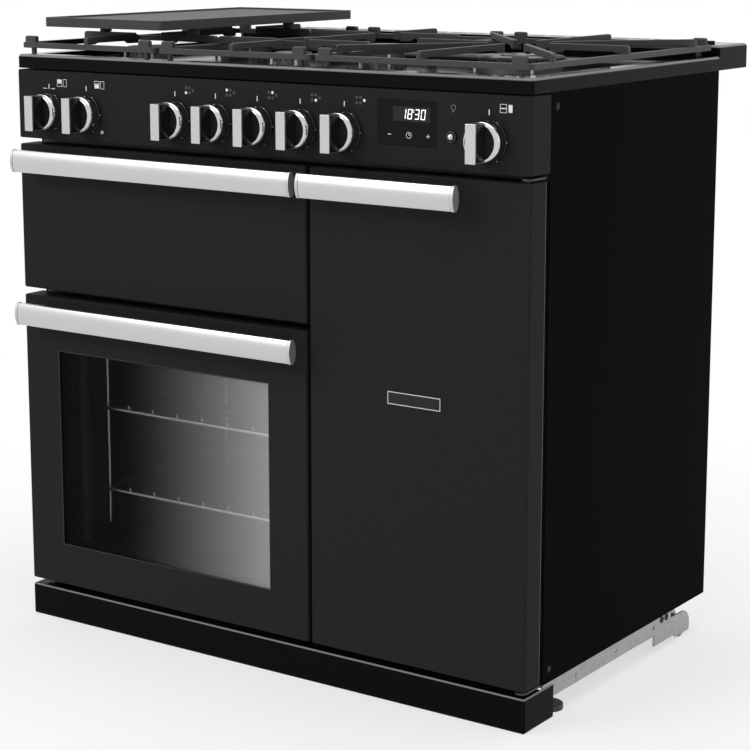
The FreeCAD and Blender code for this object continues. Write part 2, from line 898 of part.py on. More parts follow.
# ---------------------------------------------------------------- control panel
def knob_places():
    """Name and middle of each knob, from left to right."""
    places = [("knob_grill", left_edge + oven_knob_inset),
              ("knob_main_oven", left_edge + oven_knob_inset + knob_pitch)]
    burners = ("left_front", "left_rear", "centre_rear", "centre_front", "wok")
    for index in range(burner_knob_count):
        places.append(("knob_" + burners[index], left_edge + burner_knob_inset + index * knob_pitch))
    places.append(("knob_tall_oven", half - tall_knob_inset))
    return places


def display_box():
    """Edges of the clock's window: x0, x1, z0, z1."""
    x = half - display_from_right
    z = panel_top - display_drop
    return (x - display_width / 2.0, x + display_width / 2.0,
            z - display_height / 2.0, z + display_height / 2.0)


def control_panel():
    """Pressed fascia with the spindle holes, the clock's opening and the lamp button's collar."""
    panel = pressed_tray(-half, half, front, body_front - joint_line, panel_bottom, panel_top,
                         panel_wall, panel_corner)
    through = front + panel_wall + overcut
    cuts = []
    for name, x in knob_places():
        cuts.append(rod((x, front - overcut, knob_level), (x, through, knob_level), spindle_hole))
    x0, x1, z0, z1 = display_box()
    cuts.append(window_prism(x0, x1, z0, z1, front - overcut, through, display_corner))
    neon_x = left_edge + neon_from_left
    neon_z = panel_top - neon_drop
    cuts.append(rod((neon_x, front - overcut, neon_z), (neon_x, through, neon_z), neon_radius))
    button_x = half - button_from_right
    button_z = panel_top - button_drop
    collar = rod((button_x, front - button_collar_depth, button_z), (button_x, front + panel_wall, button_z),
                 button_collar)
    before = front - button_collar_depth - overcut
    cuts.append(rod((button_x, before, button_z), (button_x, through, button_z), button_radius + moving_gap))
    return joined([panel, collar]).cut(cuts[0].multiFuse(cuts[1:]))


def display_window():
    """Clock's glass, flush with the fascia."""
    x0, x1, z0, z1 = display_box()
    fit = display_fit
    return window_prism(x0 + fit, x1 - fit, z0 + fit, z1 - fit, front, front + display_glass, display_corner)


def clock_module():
    """Clock and touch-control housing against the fascia, with a seat for its glass."""
    x0, x1, z0, z1 = display_box()
    y0 = front + panel_wall
    case = block(x0 - clock_margin, x1 + clock_margin, y0, y0 + clock_depth,
                 z0 - clock_margin, z1 + clock_margin)
    seat = window_prism(x0, x1, z0, z1, y0 - overcut, front + display_glass, display_corner)
    return case.cut(seat)


def lamp_button():
    """Round oven-lamp button with its stem."""
    x = half - button_from_right
    z = panel_top - button_drop
    ball_y = front - button_proud
    stem = rod((x, ball_y, z), (x, front + button_reach, z), button_stem)
    guide = rod((x, ball_y, z), (x, front + panel_wall, z), button_radius)
    ball = Part.makeSphere(button_radius, FreeCAD.Vector(x, ball_y, z))
    return joined([stem, guide, ball])


def control_spindles():
    """Gas taps and oven switches behind the fascia, each with its spindle."""
    pieces = []
    for name, x in knob_places():
        is_tap = abs(x - (left_edge + burner_knob_inset + knob_pitch * 2.0)) < knob_pitch * 2.5
        side = tap_body if is_tap else switch_body
        deep = tap_depth if is_tap else switch_depth
        y0 = front + panel_wall
        body = block(x - side / 2.0, x + side / 2.0, y0, y0 + deep, knob_level - side / 2.0,
                     knob_level + side / 2.0)
        spindle = rod((x, front - knob_gap - spindle_engagement, knob_level), (x, y0, knob_level),
                      spindle_radius)
        pieces.append(joined([body, spindle]))
    x = half - button_from_right
    z = panel_top - button_drop
    y0 = front + panel_wall
    switch = block(x - lamp_switch / 2.0, x + lamp_switch / 2.0, y0, y0 + lamp_switch,
                   z - lamp_switch / 2.0, z + lamp_switch / 2.0)
    mouth = rod((x, y0 - overcut, z), (x, y0 + button_travel + moving_gap, z), button_radius + moving_gap)
    bore = rod((x, y0 - overcut, z), (x, front + button_reach + button_travel + moving_gap, z),
               button_stem + running_fit)
    pieces.append(switch.cut(mouth).cut(bore))
    return group(pieces)


def knob(x):
    """Skirt, ring, recessed face and upright blade, bored for the spindle."""
    base = front - knob_gap
    z = knob_level

    def disc(depth0, depth1, r0, r1):
        return Part.makeCone(r0, r1, depth1 - depth0, FreeCAD.Vector(x, base - depth0, z), -Y_AXIS)
    skirt = disc(0.0, knob_skirt_depth, knob_radius - knob_taper, knob_radius)
    ring = disc(knob_skirt_depth, knob_ring_depth, knob_radius - knob_ring_step, knob_ring_radius)
    recess = disc(knob_face_depth, knob_ring_depth + overcut, knob_face_radius, knob_face_radius + knob_taper)
    body = joined([skirt, ring]).cut(recess)
    tip = front - knob_reach
    rooted = base - knob_face_depth + blade_root
    core_x = blade_core_width / 2.0
    core_z = blade_height / 2.0 - blade_core_inset
    core = block(x - core_x, x + core_x, tip + blade_plate, rooted, z - core_z, z + core_z)
    plate = block(x - blade_width / 2.0, x + blade_width / 2.0, tip, tip + blade_plate,
                  z - blade_height / 2.0, z + blade_height / 2.0)
    cheek_x = blade_width / 2.0 - blade_cheek_side
    cheek_z = blade_height / 2.0 - blade_cheek_inset
    cheek = block(x - cheek_x, x + cheek_x, tip + blade_plate, rooted, z - cheek_z, z + cheek_z)
    bore = rod((x, base + overcut, z), (x, base - spindle_engagement - overcut, z),
               spindle_radius + running_fit)
    return joined([body, core, plate, cheek]).cut(bore)


def lenses():
    """Neon lens on the fascia and the oven lamp's glass."""
    x = left_edge + neon_from_left
    z = panel_top - neon_drop
    neon = rod((x, front - neon_proud, z), (x, front + neon_reach, z), neon_radius - running_fit)
    return group([neon, lamp_lens_solid(0.0)])


# ---------------------------------------------------------------- hob
def support_edges():
    """Left and right edge of each pan support."""
    a = left_edge + support_inset
    b = a + support_left_width
    c = b + support_gap
    d = c + support_centre_width
    e = d + support_gap
    return {"left": (a, b), "centre": (c, d), "right": (e, half - support_inset)}


def burner_places():
    """Name, middle and head radius of each burner."""
    edges = support_edges()
    middle = (support_front + support_rear) / 2.0
    left_x = sum(edges["left"]) / 2.0
    centre_x = sum(edges["centre"]) / 2.0
    wok_x = sum(edges["right"]) / 2.0
    return [("left_front", left_x, middle - burner_offset, medium_burner),
            ("left_rear", left_x, middle + burner_offset, large_burner),
            ("centre_front", centre_x, middle - burner_offset, small_burner),
            ("centre_rear", centre_x, middle + burner_offset, medium_burner),
            ("wok", wok_x, middle, wok_burner)]


def hob_tray():
    """Enamelled hob top: rounded rim, sunken well, skirt and the raised strip along the rear."""
    wall = panel_wall
    outer = block(-half, half, front, rear, skirt_bottom, rim_height)
    top_front = edges_where(outer, lambda p: near(p.z, rim_height)
                            and (near(p.y, front) or abs(p.x) > half - 0.01))
    corners = edges_where(outer, lambda p: near(p.y, front) and abs(p.x) > half - 0.01)
    outer = outer.makeFillet(hob_corner, top_front + corners)
    strip_start = rear - upstand_depth
    strip = block(-half, half, strip_start, rear, skirt_bottom, rim_height + upstand_rise)
    strip = strip.makeFillet(hob_corner, edges_where(
        strip, lambda p: near(p.z, rim_height + upstand_rise)))
    well = block(-half + rim_width, half - rim_width, front + rim_width, strip_start - rim_width / 2.0,
                 well_floor, rim_height + 50.0)
    well = well.makeFillet(hob_corner, edges_where(
        well, lambda p: p.z < rim_height + 1.0 and near(p.z, well_floor))
        + edges_where(well, lambda p: near(abs(p.x), half - rim_width)
                      and (near(p.y, front + rim_width) or near(p.y, strip_start - rim_width / 2.0))))
    solid = joined([outer, strip]).cut(well)
    low = block(-half + wall, half - wall, front + wall, rear - wall, skirt_bottom - 1.0, well_floor - wall)
    under_rim = block(-half + wall, half - wall, front + wall, rear - wall, well_floor - wall - 1.0,
                      rim_height - hob_corner)
    dam = block(-half + rim_width - wall, half - rim_width + wall, front + rim_width - wall,
                strip_start - rim_width / 2.0 + wall, skirt_bottom - 2.0, rim_height + 1.0)
    under_strip = block(-half + wall, half - wall, strip_start + wall, rear - wall, skirt_bottom - 1.0,
                        rim_height + upstand_rise - hob_corner)
    solid = solid.cut(low.multiFuse([under_rim.cut(dam), under_strip]))
    holes = []
    for name, x, y, radius in burner_places():
        holes.append(rod((x, y, skirt_bottom), (x, y, rim_height + overcut), radius - cup_flange))
    return solid.cut(holes[0].multiFuse(holes[1:]))


def rear_vent_trim():
    """Slotted cover strip over the flue along the rear of the hob."""
    middle = rear - upstand_depth / 2.0
    base = rim_height + upstand_rise
    x = half - trim_side_inset
    trim = rounded_strip(-x, x, middle - trim_depth / 2.0, middle + trim_depth / 2.0,
                         base, base + trim_height)
    slots = []
    pitch = (x * 2.0 - trim_end * 2.0) / trim_slots
    for index in range(trim_slots):
        x0 = -x + trim_end + index * pitch
        slots.append(block(x0 + trim_web / 2.0, x0 + pitch - trim_web / 2.0, middle - trim_slot_width / 2.0,
                           middle + trim_slot_width / 2.0, base - overcut, base + trim_height + overcut))
    return trim.cut(slots[0].multiFuse(slots[1:]))


def rounded_strip(x0, x1, y0, y1, z0, z1):
    """Flat strip with its top edges rounded."""
    strip = block(x0, x1, y0, y1, z0, z1)
    return strip.makeFillet(trim_rim, edges_where(strip, lambda p: near(p.z, z1)))


def burner_cups():
    """Cast cups that hang in the hob's holes."""
    cups = []
    for name, x, y, radius in burner_places():
        flange = rod((x, y, well_floor), (x, y, well_floor + cup_height), radius)
        throat = rod((x, y, skirt_bottom - cup_drop), (x, y, well_floor), radius - cup_flange - cup_fit)
        mouth = rod((x, y, well_floor - cup_sink), (x, y, well_floor + cup_height + overcut),
                    radius - cup_wall)
        cups.append(joined([flange, throat]).cut(mouth))
    return group(cups)


def flame_rings():
    """Slotted flame spreaders, and a second small one in the wok burner."""
    base = well_floor + cup_height
    rings = []
    for name, x, y, radius in burner_places():
        ring = rod((x, y, base), (x, y, base + ring_height), radius - ring_step)
        is_wok = name == "wok"
        bore_radius = wok_inner + wok_inner_bore if is_wok else radius - cup_wall
        bore_top = base + ring_height + (overcut if is_wok else -ring_roof)
        ring = ring.cut(rod((x, y, base - overcut), (x, y, bore_top), bore_radius))
        count = int(burner_slots * radius / medium_burner)
        teeth = []
        for index in range(count):
            slot = block(-slot_width / 2.0, slot_width / 2.0, radius - slot_depth, radius + overcut,
                         base + slot_sill, base + ring_height + overcut)
            slot.rotate(FreeCAD.Vector(0, 0, 0), Z_AXIS, 360.0 * index / count)
            slot.translate(FreeCAD.Vector(x, y, 0))
            teeth.append(slot)
        rings.append(ring.cut(teeth[0].multiFuse(teeth[1:])))
        if is_wok:
            rings.append(rod((x, y, well_floor - cup_sink), (x, y, base + ring_height),
                             wok_inner - ring_step))
    return group(rings)


def burner_caps():
    """Enamelled caps on the flame spreaders; the wok burner's outer cap is a ring."""
    base = well_floor + cup_height + ring_height
    caps = []
    for name, x, y, radius in burner_places():
        cap = rod((x, y, base), (x, y, base + cap_height), radius + cap_overlap)
        cap = cap.makeFillet(cap_rim, edges_where(cap, lambda p: near(p.z, base + cap_height)))
        if name == "wok":
            cap = cap.cut(rod((x, y, base - overcut), (x, y, base + cap_height + overcut),
                              wok_inner + wok_inner_bore))
            top = base + cap_height + wok_inner_rise
            inner = rod((x, y, base), (x, y, top), wok_inner + cap_overlap)
            inner = inner.makeFillet(cap_rim, edges_where(inner, lambda p: near(p.z, top)))
            caps.append(inner)
        caps.append(cap)
    return group(caps)


def spark_electrodes():
    """A ceramic spark plug and a flame sensor beside each burner."""
    pieces = []
    for name, x, y, radius in burner_places():
        for side in (-1.0, 1.0):
            angle = math.radians(electrode_angle * side - 90.0)
            reach = radius + electrode_gap
            ex = x + reach * math.cos(angle)
            ey = y + reach * math.sin(angle)
            tip = well_floor + electrode_height
            pieces.append(rod((ex, ey, well_floor), (ex, ey, tip), electrode_radius))
    return group(pieces)


def finger(length):
    """Bridge-shaped finger along +Y from the outer face of a rail."""
    low = rail_top - rail_height
    under = finger_top - finger_undercut
    toe = rail_top - finger_toe_drop
    points = [(0.0, low), (rail_width, low), (rail_width, rail_top), (finger_root - finger_slope, rail_top),
              (finger_root, under), (length - finger_tip - finger_slope, under), (length - finger_tip, toe),
              (length, toe), (length, finger_top), (finger_chamfer, finger_top),
              (0.0, finger_top - finger_chamfer)]
    return upright_prism(points, -finger_width / 2.0, finger_width / 2.0)


def placed_finger(length, x, y, turn):
    """Finger whose outer end stands at (x, y), pointing along a turned +Y."""
    bar = finger(length)
    bar.rotate(FreeCAD.Vector(0, 0, 0), Z_AXIS, turn)
    bar.translate(FreeCAD.Vector(x, y, 0))
    return bar


def support_frame(x0, x1):
    """Perimeter bars, corner lugs and feet of a pan support."""
    y0, y1 = support_front, support_rear
    outer = block(x0, x1, y0, y1, rail_bottom, rail_top)
    outer = outer.makeFillet(support_corner, edges_where(
        outer, lambda p: (near(p.x, x0) or near(p.x, x1)) and (near(p.y, y0) or near(p.y, y1))))
    inner = block(x0 + rail_width, x1 - rail_width, y0 + rail_width, y1 - rail_width,
                  rail_bottom - 1.0, rail_top + 1.0)
    parts = [outer.cut(inner)]
    for x in (x0 + support_corner + lug_width / 2.0, x1 - support_corner - lug_width / 2.0):
        for y in (y0, y1 - rail_width):
            lug = block(x - lug_width / 2.0, x + lug_width / 2.0, y, y + rail_width, rail_top - 1.0,
                        rail_top + lug_height)
            lug = lug.makeChamfer(lug_chamfer, edges_where(lug, lambda p: near(p.z, rail_top + lug_height)))
            parts.append(lug)
        for y in (y0 + rail_width, y1 - rail_width):
            parts.append(rod((x, y, rim_height + moving_gap), (x, y, rail_bottom + 1.0), foot_radius))
    return parts


def twin_support(x0, x1):
    """Cast support over two burners, with a bar between them."""
    parts = support_frame(x0, x1)
    mid_x = (x0 + x1) / 2.0
    mid_y = (support_front + support_rear) / 2.0
    parts.append(block(x0 + 1.0, x1 - 1.0, mid_y - rail_width / 2.0, mid_y + rail_width / 2.0,
                       rail_bottom, rail_top))
    reach = (x1 - x0) / 2.0 - finger_reach
    end_reach = (support_rear - support_front) / 2.0 - burner_offset - finger_reach
    mid_reach = burner_offset + rail_width / 2.0 - finger_reach
    for way in (-1.0, 1.0):
        y = mid_y + way * burner_offset
        parts.append(placed_finger(reach, x0, y, -90.0))
        parts.append(placed_finger(reach, x1, y, 90.0))
        start = mid_y - way * rail_width / 2.0
        parts.append(placed_finger(mid_reach, mid_x, start, 0.0 if way > 0 else 180.0))
    parts.append(placed_finger(end_reach, mid_x, support_front, 0.0))
    parts.append(placed_finger(end_reach, mid_x, support_rear, 180.0))
    return joined(parts)


def wok_support(x0, x1):
    """Cast support over the wok burner, with eight fingers."""
    parts = support_frame(x0, x1)
    mid_x = (x0 + x1) / 2.0
    mid_y = (support_front + support_rear) / 2.0
    side_reach = (x1 - x0) / 2.0 - wok_finger_reach
    end_reach = (support_rear - support_front) / 2.0 - wok_finger_reach
    parts.append(placed_finger(side_reach, x0, mid_y, -90.0))
    parts.append(placed_finger(side_reach, x1, mid_y, 90.0))
    parts.append(placed_finger(end_reach, mid_x, support_front, 0.0))
    parts.append(placed_finger(end_reach, mid_x, support_rear, 180.0))
    rise = (x1 - x0) / 2.0 / math.tan(math.radians(slant_angle))
    slant = (x1 - x0) / 2.0 / math.sin(math.radians(slant_angle)) - wok_finger_reach
    for side in (-1.0, 1.0):
        x = x0 if side < 0 else x1
        parts.append(placed_finger(slant, x, mid_y - rise, side * slant_angle))
        parts.append(placed_finger(slant, x, mid_y + rise, 180.0 - side * slant_angle))
    outside = block(x0, x1, support_front, support_rear, rim_height, finger_top + 5.0)
    return joined(parts).common(outside)


def griddle_plate():
    """Cast griddle with a raised lip, on four feet that stand on the support's fingers."""
    x0 = left_edge + griddle_side_inset
    x1 = x0 + griddle_width
    y0 = front + griddle_front_inset
    y1 = y0 + griddle_depth
    z0 = finger_top + griddle_foot_height
    z1 = z0 + griddle_thickness
    plate = block(x0, x1, y0, y1, z0, z1)
    plate = plate.makeFillet(griddle_corner, edges_where(
        plate, lambda p: (near(p.x, x0) or near(p.x, x1)) and (near(p.y, y0) or near(p.y, y1))))
    dish = block(x0 + griddle_lip, x1 - griddle_lip, y0 + griddle_lip, y1 - griddle_lip,
                 z1 - griddle_dish, z1 + 5.0)
    dish = dish.makeFillet(griddle_corner / 2.0, edges_where(
        dish, lambda p: (near(p.x, x0 + griddle_lip) or near(p.x, x1 - griddle_lip))
        and (near(p.y, y0 + griddle_lip) or near(p.y, y1 - griddle_lip))))
    parts = [plate.cut(dish)]
    mid_y = (support_front + support_rear) / 2.0
    for x in (x0 + griddle_foot_left, x1 - griddle_foot_right):
        for way in (-1.0, 1.0):
            y = mid_y + way * burner_offset
            parts.append(rod((x, y, finger_top + moving_gap), (x, y, z0 + 1.0), griddle_foot))
    return joined(parts)


# ---------------------------------------------------------------- inside the ovens
def ladder_levels(name):
    """Heights of the shelf runners in an oven, evenly spaced from the lowest to the highest."""
    x0, x1, z0, z1, back = cavity_box(name)
    lowest, highest, count = z0 + tall_runner_first, z1 - tall_runner_top, tall_runner_count
    if name == "main":
        lowest, highest, count = z0 + main_runner_first, z1 - main_runner_top, main_runner_count
    pitch = (highest - lowest) / (count - 1)
    return [lowest + index * pitch for index in range(count)]


def shelf_levels(name):
    """Heights of the shelves: every second pair of runners carries one."""
    return ladder_levels(name)[::shelf_every]


def shelf_ladders():
    """Wire side racks with a pair of runners for each shelf."""
    racks = []
    for name in ("main", "tall"):
        x0, x1, z0, z1, back = cavity_box(name)
        y0 = frame_front + ladder_inset
        y1 = back - cover_from_back - ladder_inset
        low = z0 + ladder_end_inset
        high = z1 - ladder_end_inset
        for side in (-1.0, 1.0):
            wall = x0 if side < 0 else x1
            x = wall - side * (ladder_stand_off + ladder_wire)
            bars = [rod((x, y0, low - ladder_post), (x, y0, high + ladder_post), ladder_post),
                    rod((x, y1, low - ladder_post), (x, y1, high + ladder_post), ladder_post)]
            for z in (low, high):
                bars.append(rod((x, y0, z), (x, y1, z), ladder_wire))
                for y in (y0, y1):
                    bars.append(rod((wall, y, z), (x, y, z), ladder_stub))
            for z in ladder_levels(name):
                for offset in (-1.0, 1.0):
                    level = z + offset * (shelf_stub + moving_gap + ladder_wire)
                    bars.append(rod((x, y0, level), (x, y1, level), ladder_wire))
            racks.append(joined(bars))
    return group(racks)


def wire_racks():
    """Oven shelves on their runners, and the trivet in the grill pan."""
    racks = []
    for name in ("main", "tall"):
        x0, x1, z0, z1, back = cavity_box(name)
        side = ladder_stand_off + ladder_wire * 2.0 + shelf_wire + shelf_gap
        y0 = frame_front + ladder_inset - shelf_overhang
        y1 = back - cover_from_back - ladder_inset
        for level in shelf_levels(name):
            racks.append(wire_grid(x0 + side, x1 - side, y0, y1, level, True))
    x0, x1, y0, y1, z0 = pan_box()
    inset = pan_wall + shelf_wire + trivet_gap
    racks.append(wire_grid(x0 + inset, x1 - inset, y0 + inset, y1 - inset,
                           z0 + pan_height - trivet_drop, False))
    return group(racks)


def wire_grid(x0, x1, y0, y1, z, with_runners):
    """Wire frame with rods from front to back and a raised rail at its rear."""
    thick = shelf_end_wire
    bars = [rod((x0, y0, z), (x0, y1, z), shelf_wire), rod((x1, y0, z), (x1, y1, z), shelf_wire),
            rod((x0 - thick, y0, z), (x1 + thick, y0, z), thick),
            rod((x0 - thick, y1, z), (x1 + thick, y1, z), thick)]
    pitch = (x1 - x0) / shelf_rods
    for index in range(1, shelf_rods):
        x = x0 + index * pitch
        bars.append(rod((x, y0, z + shelf_rod), (x, y1, z + shelf_rod), shelf_rod))
    if with_runners:
        for x, side in ((x0, -1.0), (x1, 1.0)):
            for y in (y0 + shelf_stub_inset, y1 - shelf_stub_inset):
                tip = x + side * (shelf_gap + shelf_wire + ladder_wire)
                bars.append(rod((x, y, z), (tip, y, z), shelf_stub))
    else:
        for x in (x0 + shelf_stub_inset, x1 - shelf_stub_inset):
            for y in (y0, y1):
                bars.append(rod((x, y, z - pan_height + trivet_drop + pan_wall), (x, y, z), shelf_rod))
    return joined(bars)


def pan_box():
    """Outside of the grill pan: x0, x1, y0, y1 and its underside."""
    x0, x1, z0, z1, back = cavity_box("grill")
    return (x0 + pan_side_gap, x1 - pan_side_gap, frame_front + pan_front_inset, back - pan_rear_gap,
            z0 + pan_level)


def grill_pan():
    """Enamelled pan under the grill, with a rolled rim."""
    x0, x1, y0, y1, z0 = pan_box()
    outer = block(x0, x1, y0, y1, z0, z0 + pan_height)
    inner = block(x0 + pan_wall, x1 - pan_wall, y0 + pan_wall, y1 - pan_wall, z0 + pan_wall,
                  z0 + pan_height + 1.0)
    return outer.cut(inner)


def grill_runners():
    """Pressed ledges in the grill compartment that carry the pan, one on each side."""
    x0, x1, z0, z1, back = cavity_box("grill")
    px0, px1, py0, py1, pz0 = pan_box()
    ledges = []
    for wall, tip in ((x0, px0 + ledge_lap), (x1, px1 - ledge_lap)):
        low, high = min(wall, tip), max(wall, tip)
        ledges.append(block(low, high, frame_front, back, pz0 - ledge_thickness, pz0))
    return ledges


def heating_elements():
    """Grill element under the ceiling and the ring element round each fan."""
    x0, x1, z0, z1, back = cavity_box("grill")
    z = z1 - grill_drop
    pitch = (x1 - x0 - grill_side_gap * 2.0) / (grill_loops * 2.0)
    start = x0 + grill_side_gap + pitch / 2.0
    near_y = back - grill_rear_gap - grill_loop_length
    far_y = back - grill_rear_gap
    bars = []
    for index in range(grill_loops * 2):
        x = start + index * pitch
        ends_at_wall = index in (0, grill_loops * 2 - 1)
        bars.append(rod((x, near_y, z), (x, back if ends_at_wall else far_y, z), grill_tube))
        if index < grill_loops * 2 - 1:
            y = near_y if index % 2 == 0 else far_y
            bars.append(rod((x, y, z), (x + pitch, y, z), grill_tube))
        bars.append(Part.makeSphere(grill_tube, FreeCAD.Vector(x, near_y, z)))
        if not ends_at_wall:
            bars.append(Part.makeSphere(grill_tube, FreeCAD.Vector(x, far_y, z)))
    pieces = [joined(bars)]
    for name in ("main", "tall"):
        x, level, wall = fan_centre(name)
        y = wall - element_stand_off
        ring = Part.makeTorus(element_ring, element_tube, FreeCAD.Vector(x, y, level), Y_AXIS)
        tails = [rod((x + dx, y, level + element_ring), (x + dx, wall, level + element_ring), element_tube)
                 for dx in (-element_tail, element_tail)]
        pieces.append(joined([ring] + tails))
    return group(pieces)


def oven_fan(name):
    """Fan wheel: back plate, hub and bent blades."""
    x, z, wall = fan_centre(name)
    y1 = wall - fan_wall_gap
    y0 = y1 - fan_depth
    parts = [rod((x, y1 - fan_plate, z), (x, y1, z), fan_radius),
             rod((x, y0 + fan_hub_short, z), (x, y1, z), fan_hub)]
    inner = fan_radius * fan_blade_start
    for index in range(fan_blades):
        blade = block(inner, fan_radius - overcut, y0, y1 - fan_plate / 2.0,
                      -fan_blade / 2.0, fan_blade / 2.0)
        blade.rotate(FreeCAD.Vector(inner, 0, 0), Y_AXIS, fan_blade_lean)
        blade.rotate(FreeCAD.Vector(0, 0, 0), Y_AXIS, 360.0 * index / fan_blades)
        blade.translate(FreeCAD.Vector(x, 0, z))
        parts.append(blade)
    bore = rod((x, y0, z), (x, y1 + overcut, z), fan_shaft + running_fit)
    return joined(parts).cut(bore)


def fan_motors():
    """Motors on the rear walls, with shafts that carry the fans."""
    motors = []
    for name in ("main", "tall"):
        x, z, wall = fan_centre(name)
        start = wall + liner_wall
        body = rod((x, start, z), (x, start + motor_length, z), motor_radius)
        shaft = rod((x, wall - fan_depth, z), (x, start, z), fan_shaft)
        motors.append(joined([body, shaft]))
    return group(motors)


def fan_covers():
    """Slotted covers in front of the fans, on four folded legs."""
    covers = []
    for name in ("main", "tall"):
        x, level, wall = fan_centre(name)
        y = wall - cover_from_back
        half_width = cover_width / 2.0
        half_height = cover_height / 2.0
        plate = block(x - half_width, x + half_width, y, y + cover_wall,
                      level - half_height, level + half_height)
        cuts = []
        for index in range(cover_slots):
            z = level + (index - (cover_slots - 1) / 2.0) * cover_slot_pitch
            cuts.append(block(x - cover_slot_length / 2.0, x + cover_slot_length / 2.0, y - overcut,
                              y + cover_wall + overcut, z - cover_slot / 2.0, z + cover_slot / 2.0))
        plate = plate.cut(cuts[0].multiFuse(cuts[1:]))
        legs = []
        for side in (-1.0, 1.0):
            lx = x + side * half_width
            legs.append(block(min(lx, lx - side * cover_wall), max(lx, lx - side * cover_wall), y, wall,
                              level - half_height, level + half_height))
        covers.append(joined([plate] + legs))
    return group(covers)


# ---------------------------------------------------------------- gas and mains
def gas_inlet_place():
    """Middle of the gas inlet on the rear panel."""
    return half - gas_inlet_side, skirt_bottom - gas_inlet_drop


def pipe(points, radius):
    """Tube through square bends, with a ball at each bend."""
    pieces = [rod(points[i], points[i + 1], radius) for i in range(len(points) - 1)]
    for point in points[1:-1]:
        pieces.append(Part.makeSphere(radius, FreeCAD.Vector(*point)))
    return joined(pieces)


def gas_pipes():
    """Feed from the inlet to the rail behind the taps, and a pipe to each burner."""
    x_in, z_in = gas_inlet_place()
    taps = [place for place in knob_places() if place[0][5:] in burner_names()]
    rail_z = knob_level - tap_body / 2.0 - gas_rail_radius
    rail_y = front + panel_wall + tap_depth / 2.0
    turn_x = taps[-1][1] + tap_body
    rail = pipe([(taps[0][1] - tap_body, rail_y, rail_z), (turn_x, rail_y, rail_z),
                 (turn_x, front + feed_lane, rail_z), (x_in, front + feed_lane, rail_z),
                 (x_in, front + feed_lane, z_in), (x_in, body_rear + overcut, z_in)], gas_rail_radius)
    flange = rod((x_in, body_rear, z_in), (x_in, body_rear + gas_inlet_length, z_in), gas_inlet_radius)
    bore = rod((x_in, body_rear + gas_inlet_length - gas_bore_depth, z_in),
               (x_in, body_rear + gas_inlet_length + overcut, z_in), gas_inlet_bore)
    pieces = [joined([rail, flange]).cut(bore)]
    heads = {place[0]: place for place in burner_places()}
    rear_first = ("left_rear", "centre_rear", "left_front", "centre_front", "wok")
    for name, x in taps:
        head = heads[name[5:]]
        index = rear_first.index(name[5:])
        y0 = front + panel_wall + tap_depth
        level = knob_level - tap_body / 4.0 + index * pipe_pitch
        lane = front + first_lane + index * pipe_lane
        points = [(x, y0, level), (x, lane, level), (head[1], lane, level), (head[1], head[2], level),
                  (head[1], head[2], skirt_bottom - cup_drop)]
        pieces.append(pipe(points, pipe_radius))
    return group(pieces)


def burner_names():
    """Names of the burners."""
    return [place[0] for place in burner_places()]


def terminal_box():
    """Mains terminal box on the rear panel, with a cable hole in its underside."""
    x = half - terminal_side
    z = terminal_level
    outer = block(x - terminal_width / 2.0, x + terminal_width / 2.0, body_rear - sheet,
                  body_rear + terminal_depth, z, z + terminal_height)
    wall = terminal_wall
    inner = block(x - terminal_width / 2.0 + wall, x + terminal_width / 2.0 - wall,
                  body_rear - sheet - overcut, body_rear + terminal_depth - wall,
                  z + wall, z + terminal_height - wall)
    y = body_rear + terminal_depth / 2.0
    gland = rod((x, y, z - gland_length), (x, y, z + wall), cable_hole + gland_wall)
    hole = rod((x, y, z - gland_length - overcut), (x, y, z + wall + overcut), cable_hole)
    return joined([outer.cut(inner), gland]).cut(hole)


def body_screws():
    """Screws on the sides, on the roller brackets and on the rear trim."""
    screws = []
    for y, z in side_screw_places():
        screws.append(rod((half - sheet - screw_height, y, z), (half, y, z), screw_head))
    outer = half - panel_wall - joint_line
    z = body_floor - base_rail_height / 2.0 + bracket_screw_rise
    for place in range(1, bracket_screws + 1):
        y = front + base_rail_end - place * bracket_screw_pitch
        screws.append(rod((outer, y, z), (outer + bracket_screw_height, y, z), screw_head))
    others = [mirrored(screw) for screw in screws]
    base = rim_height + upstand_rise
    top = base + trim_screw_height
    for x in (-half + trim_screw_inset, half - trim_screw_inset):
        y = rear - upstand_depth / 2.0
        head = rod((x, y, base), (x, y, top), trim_screw)
        others.append(head.makeFillet(trim_screw_rim, edges_where(head, lambda p: near(p.z, top))))
    return group(screws + others)


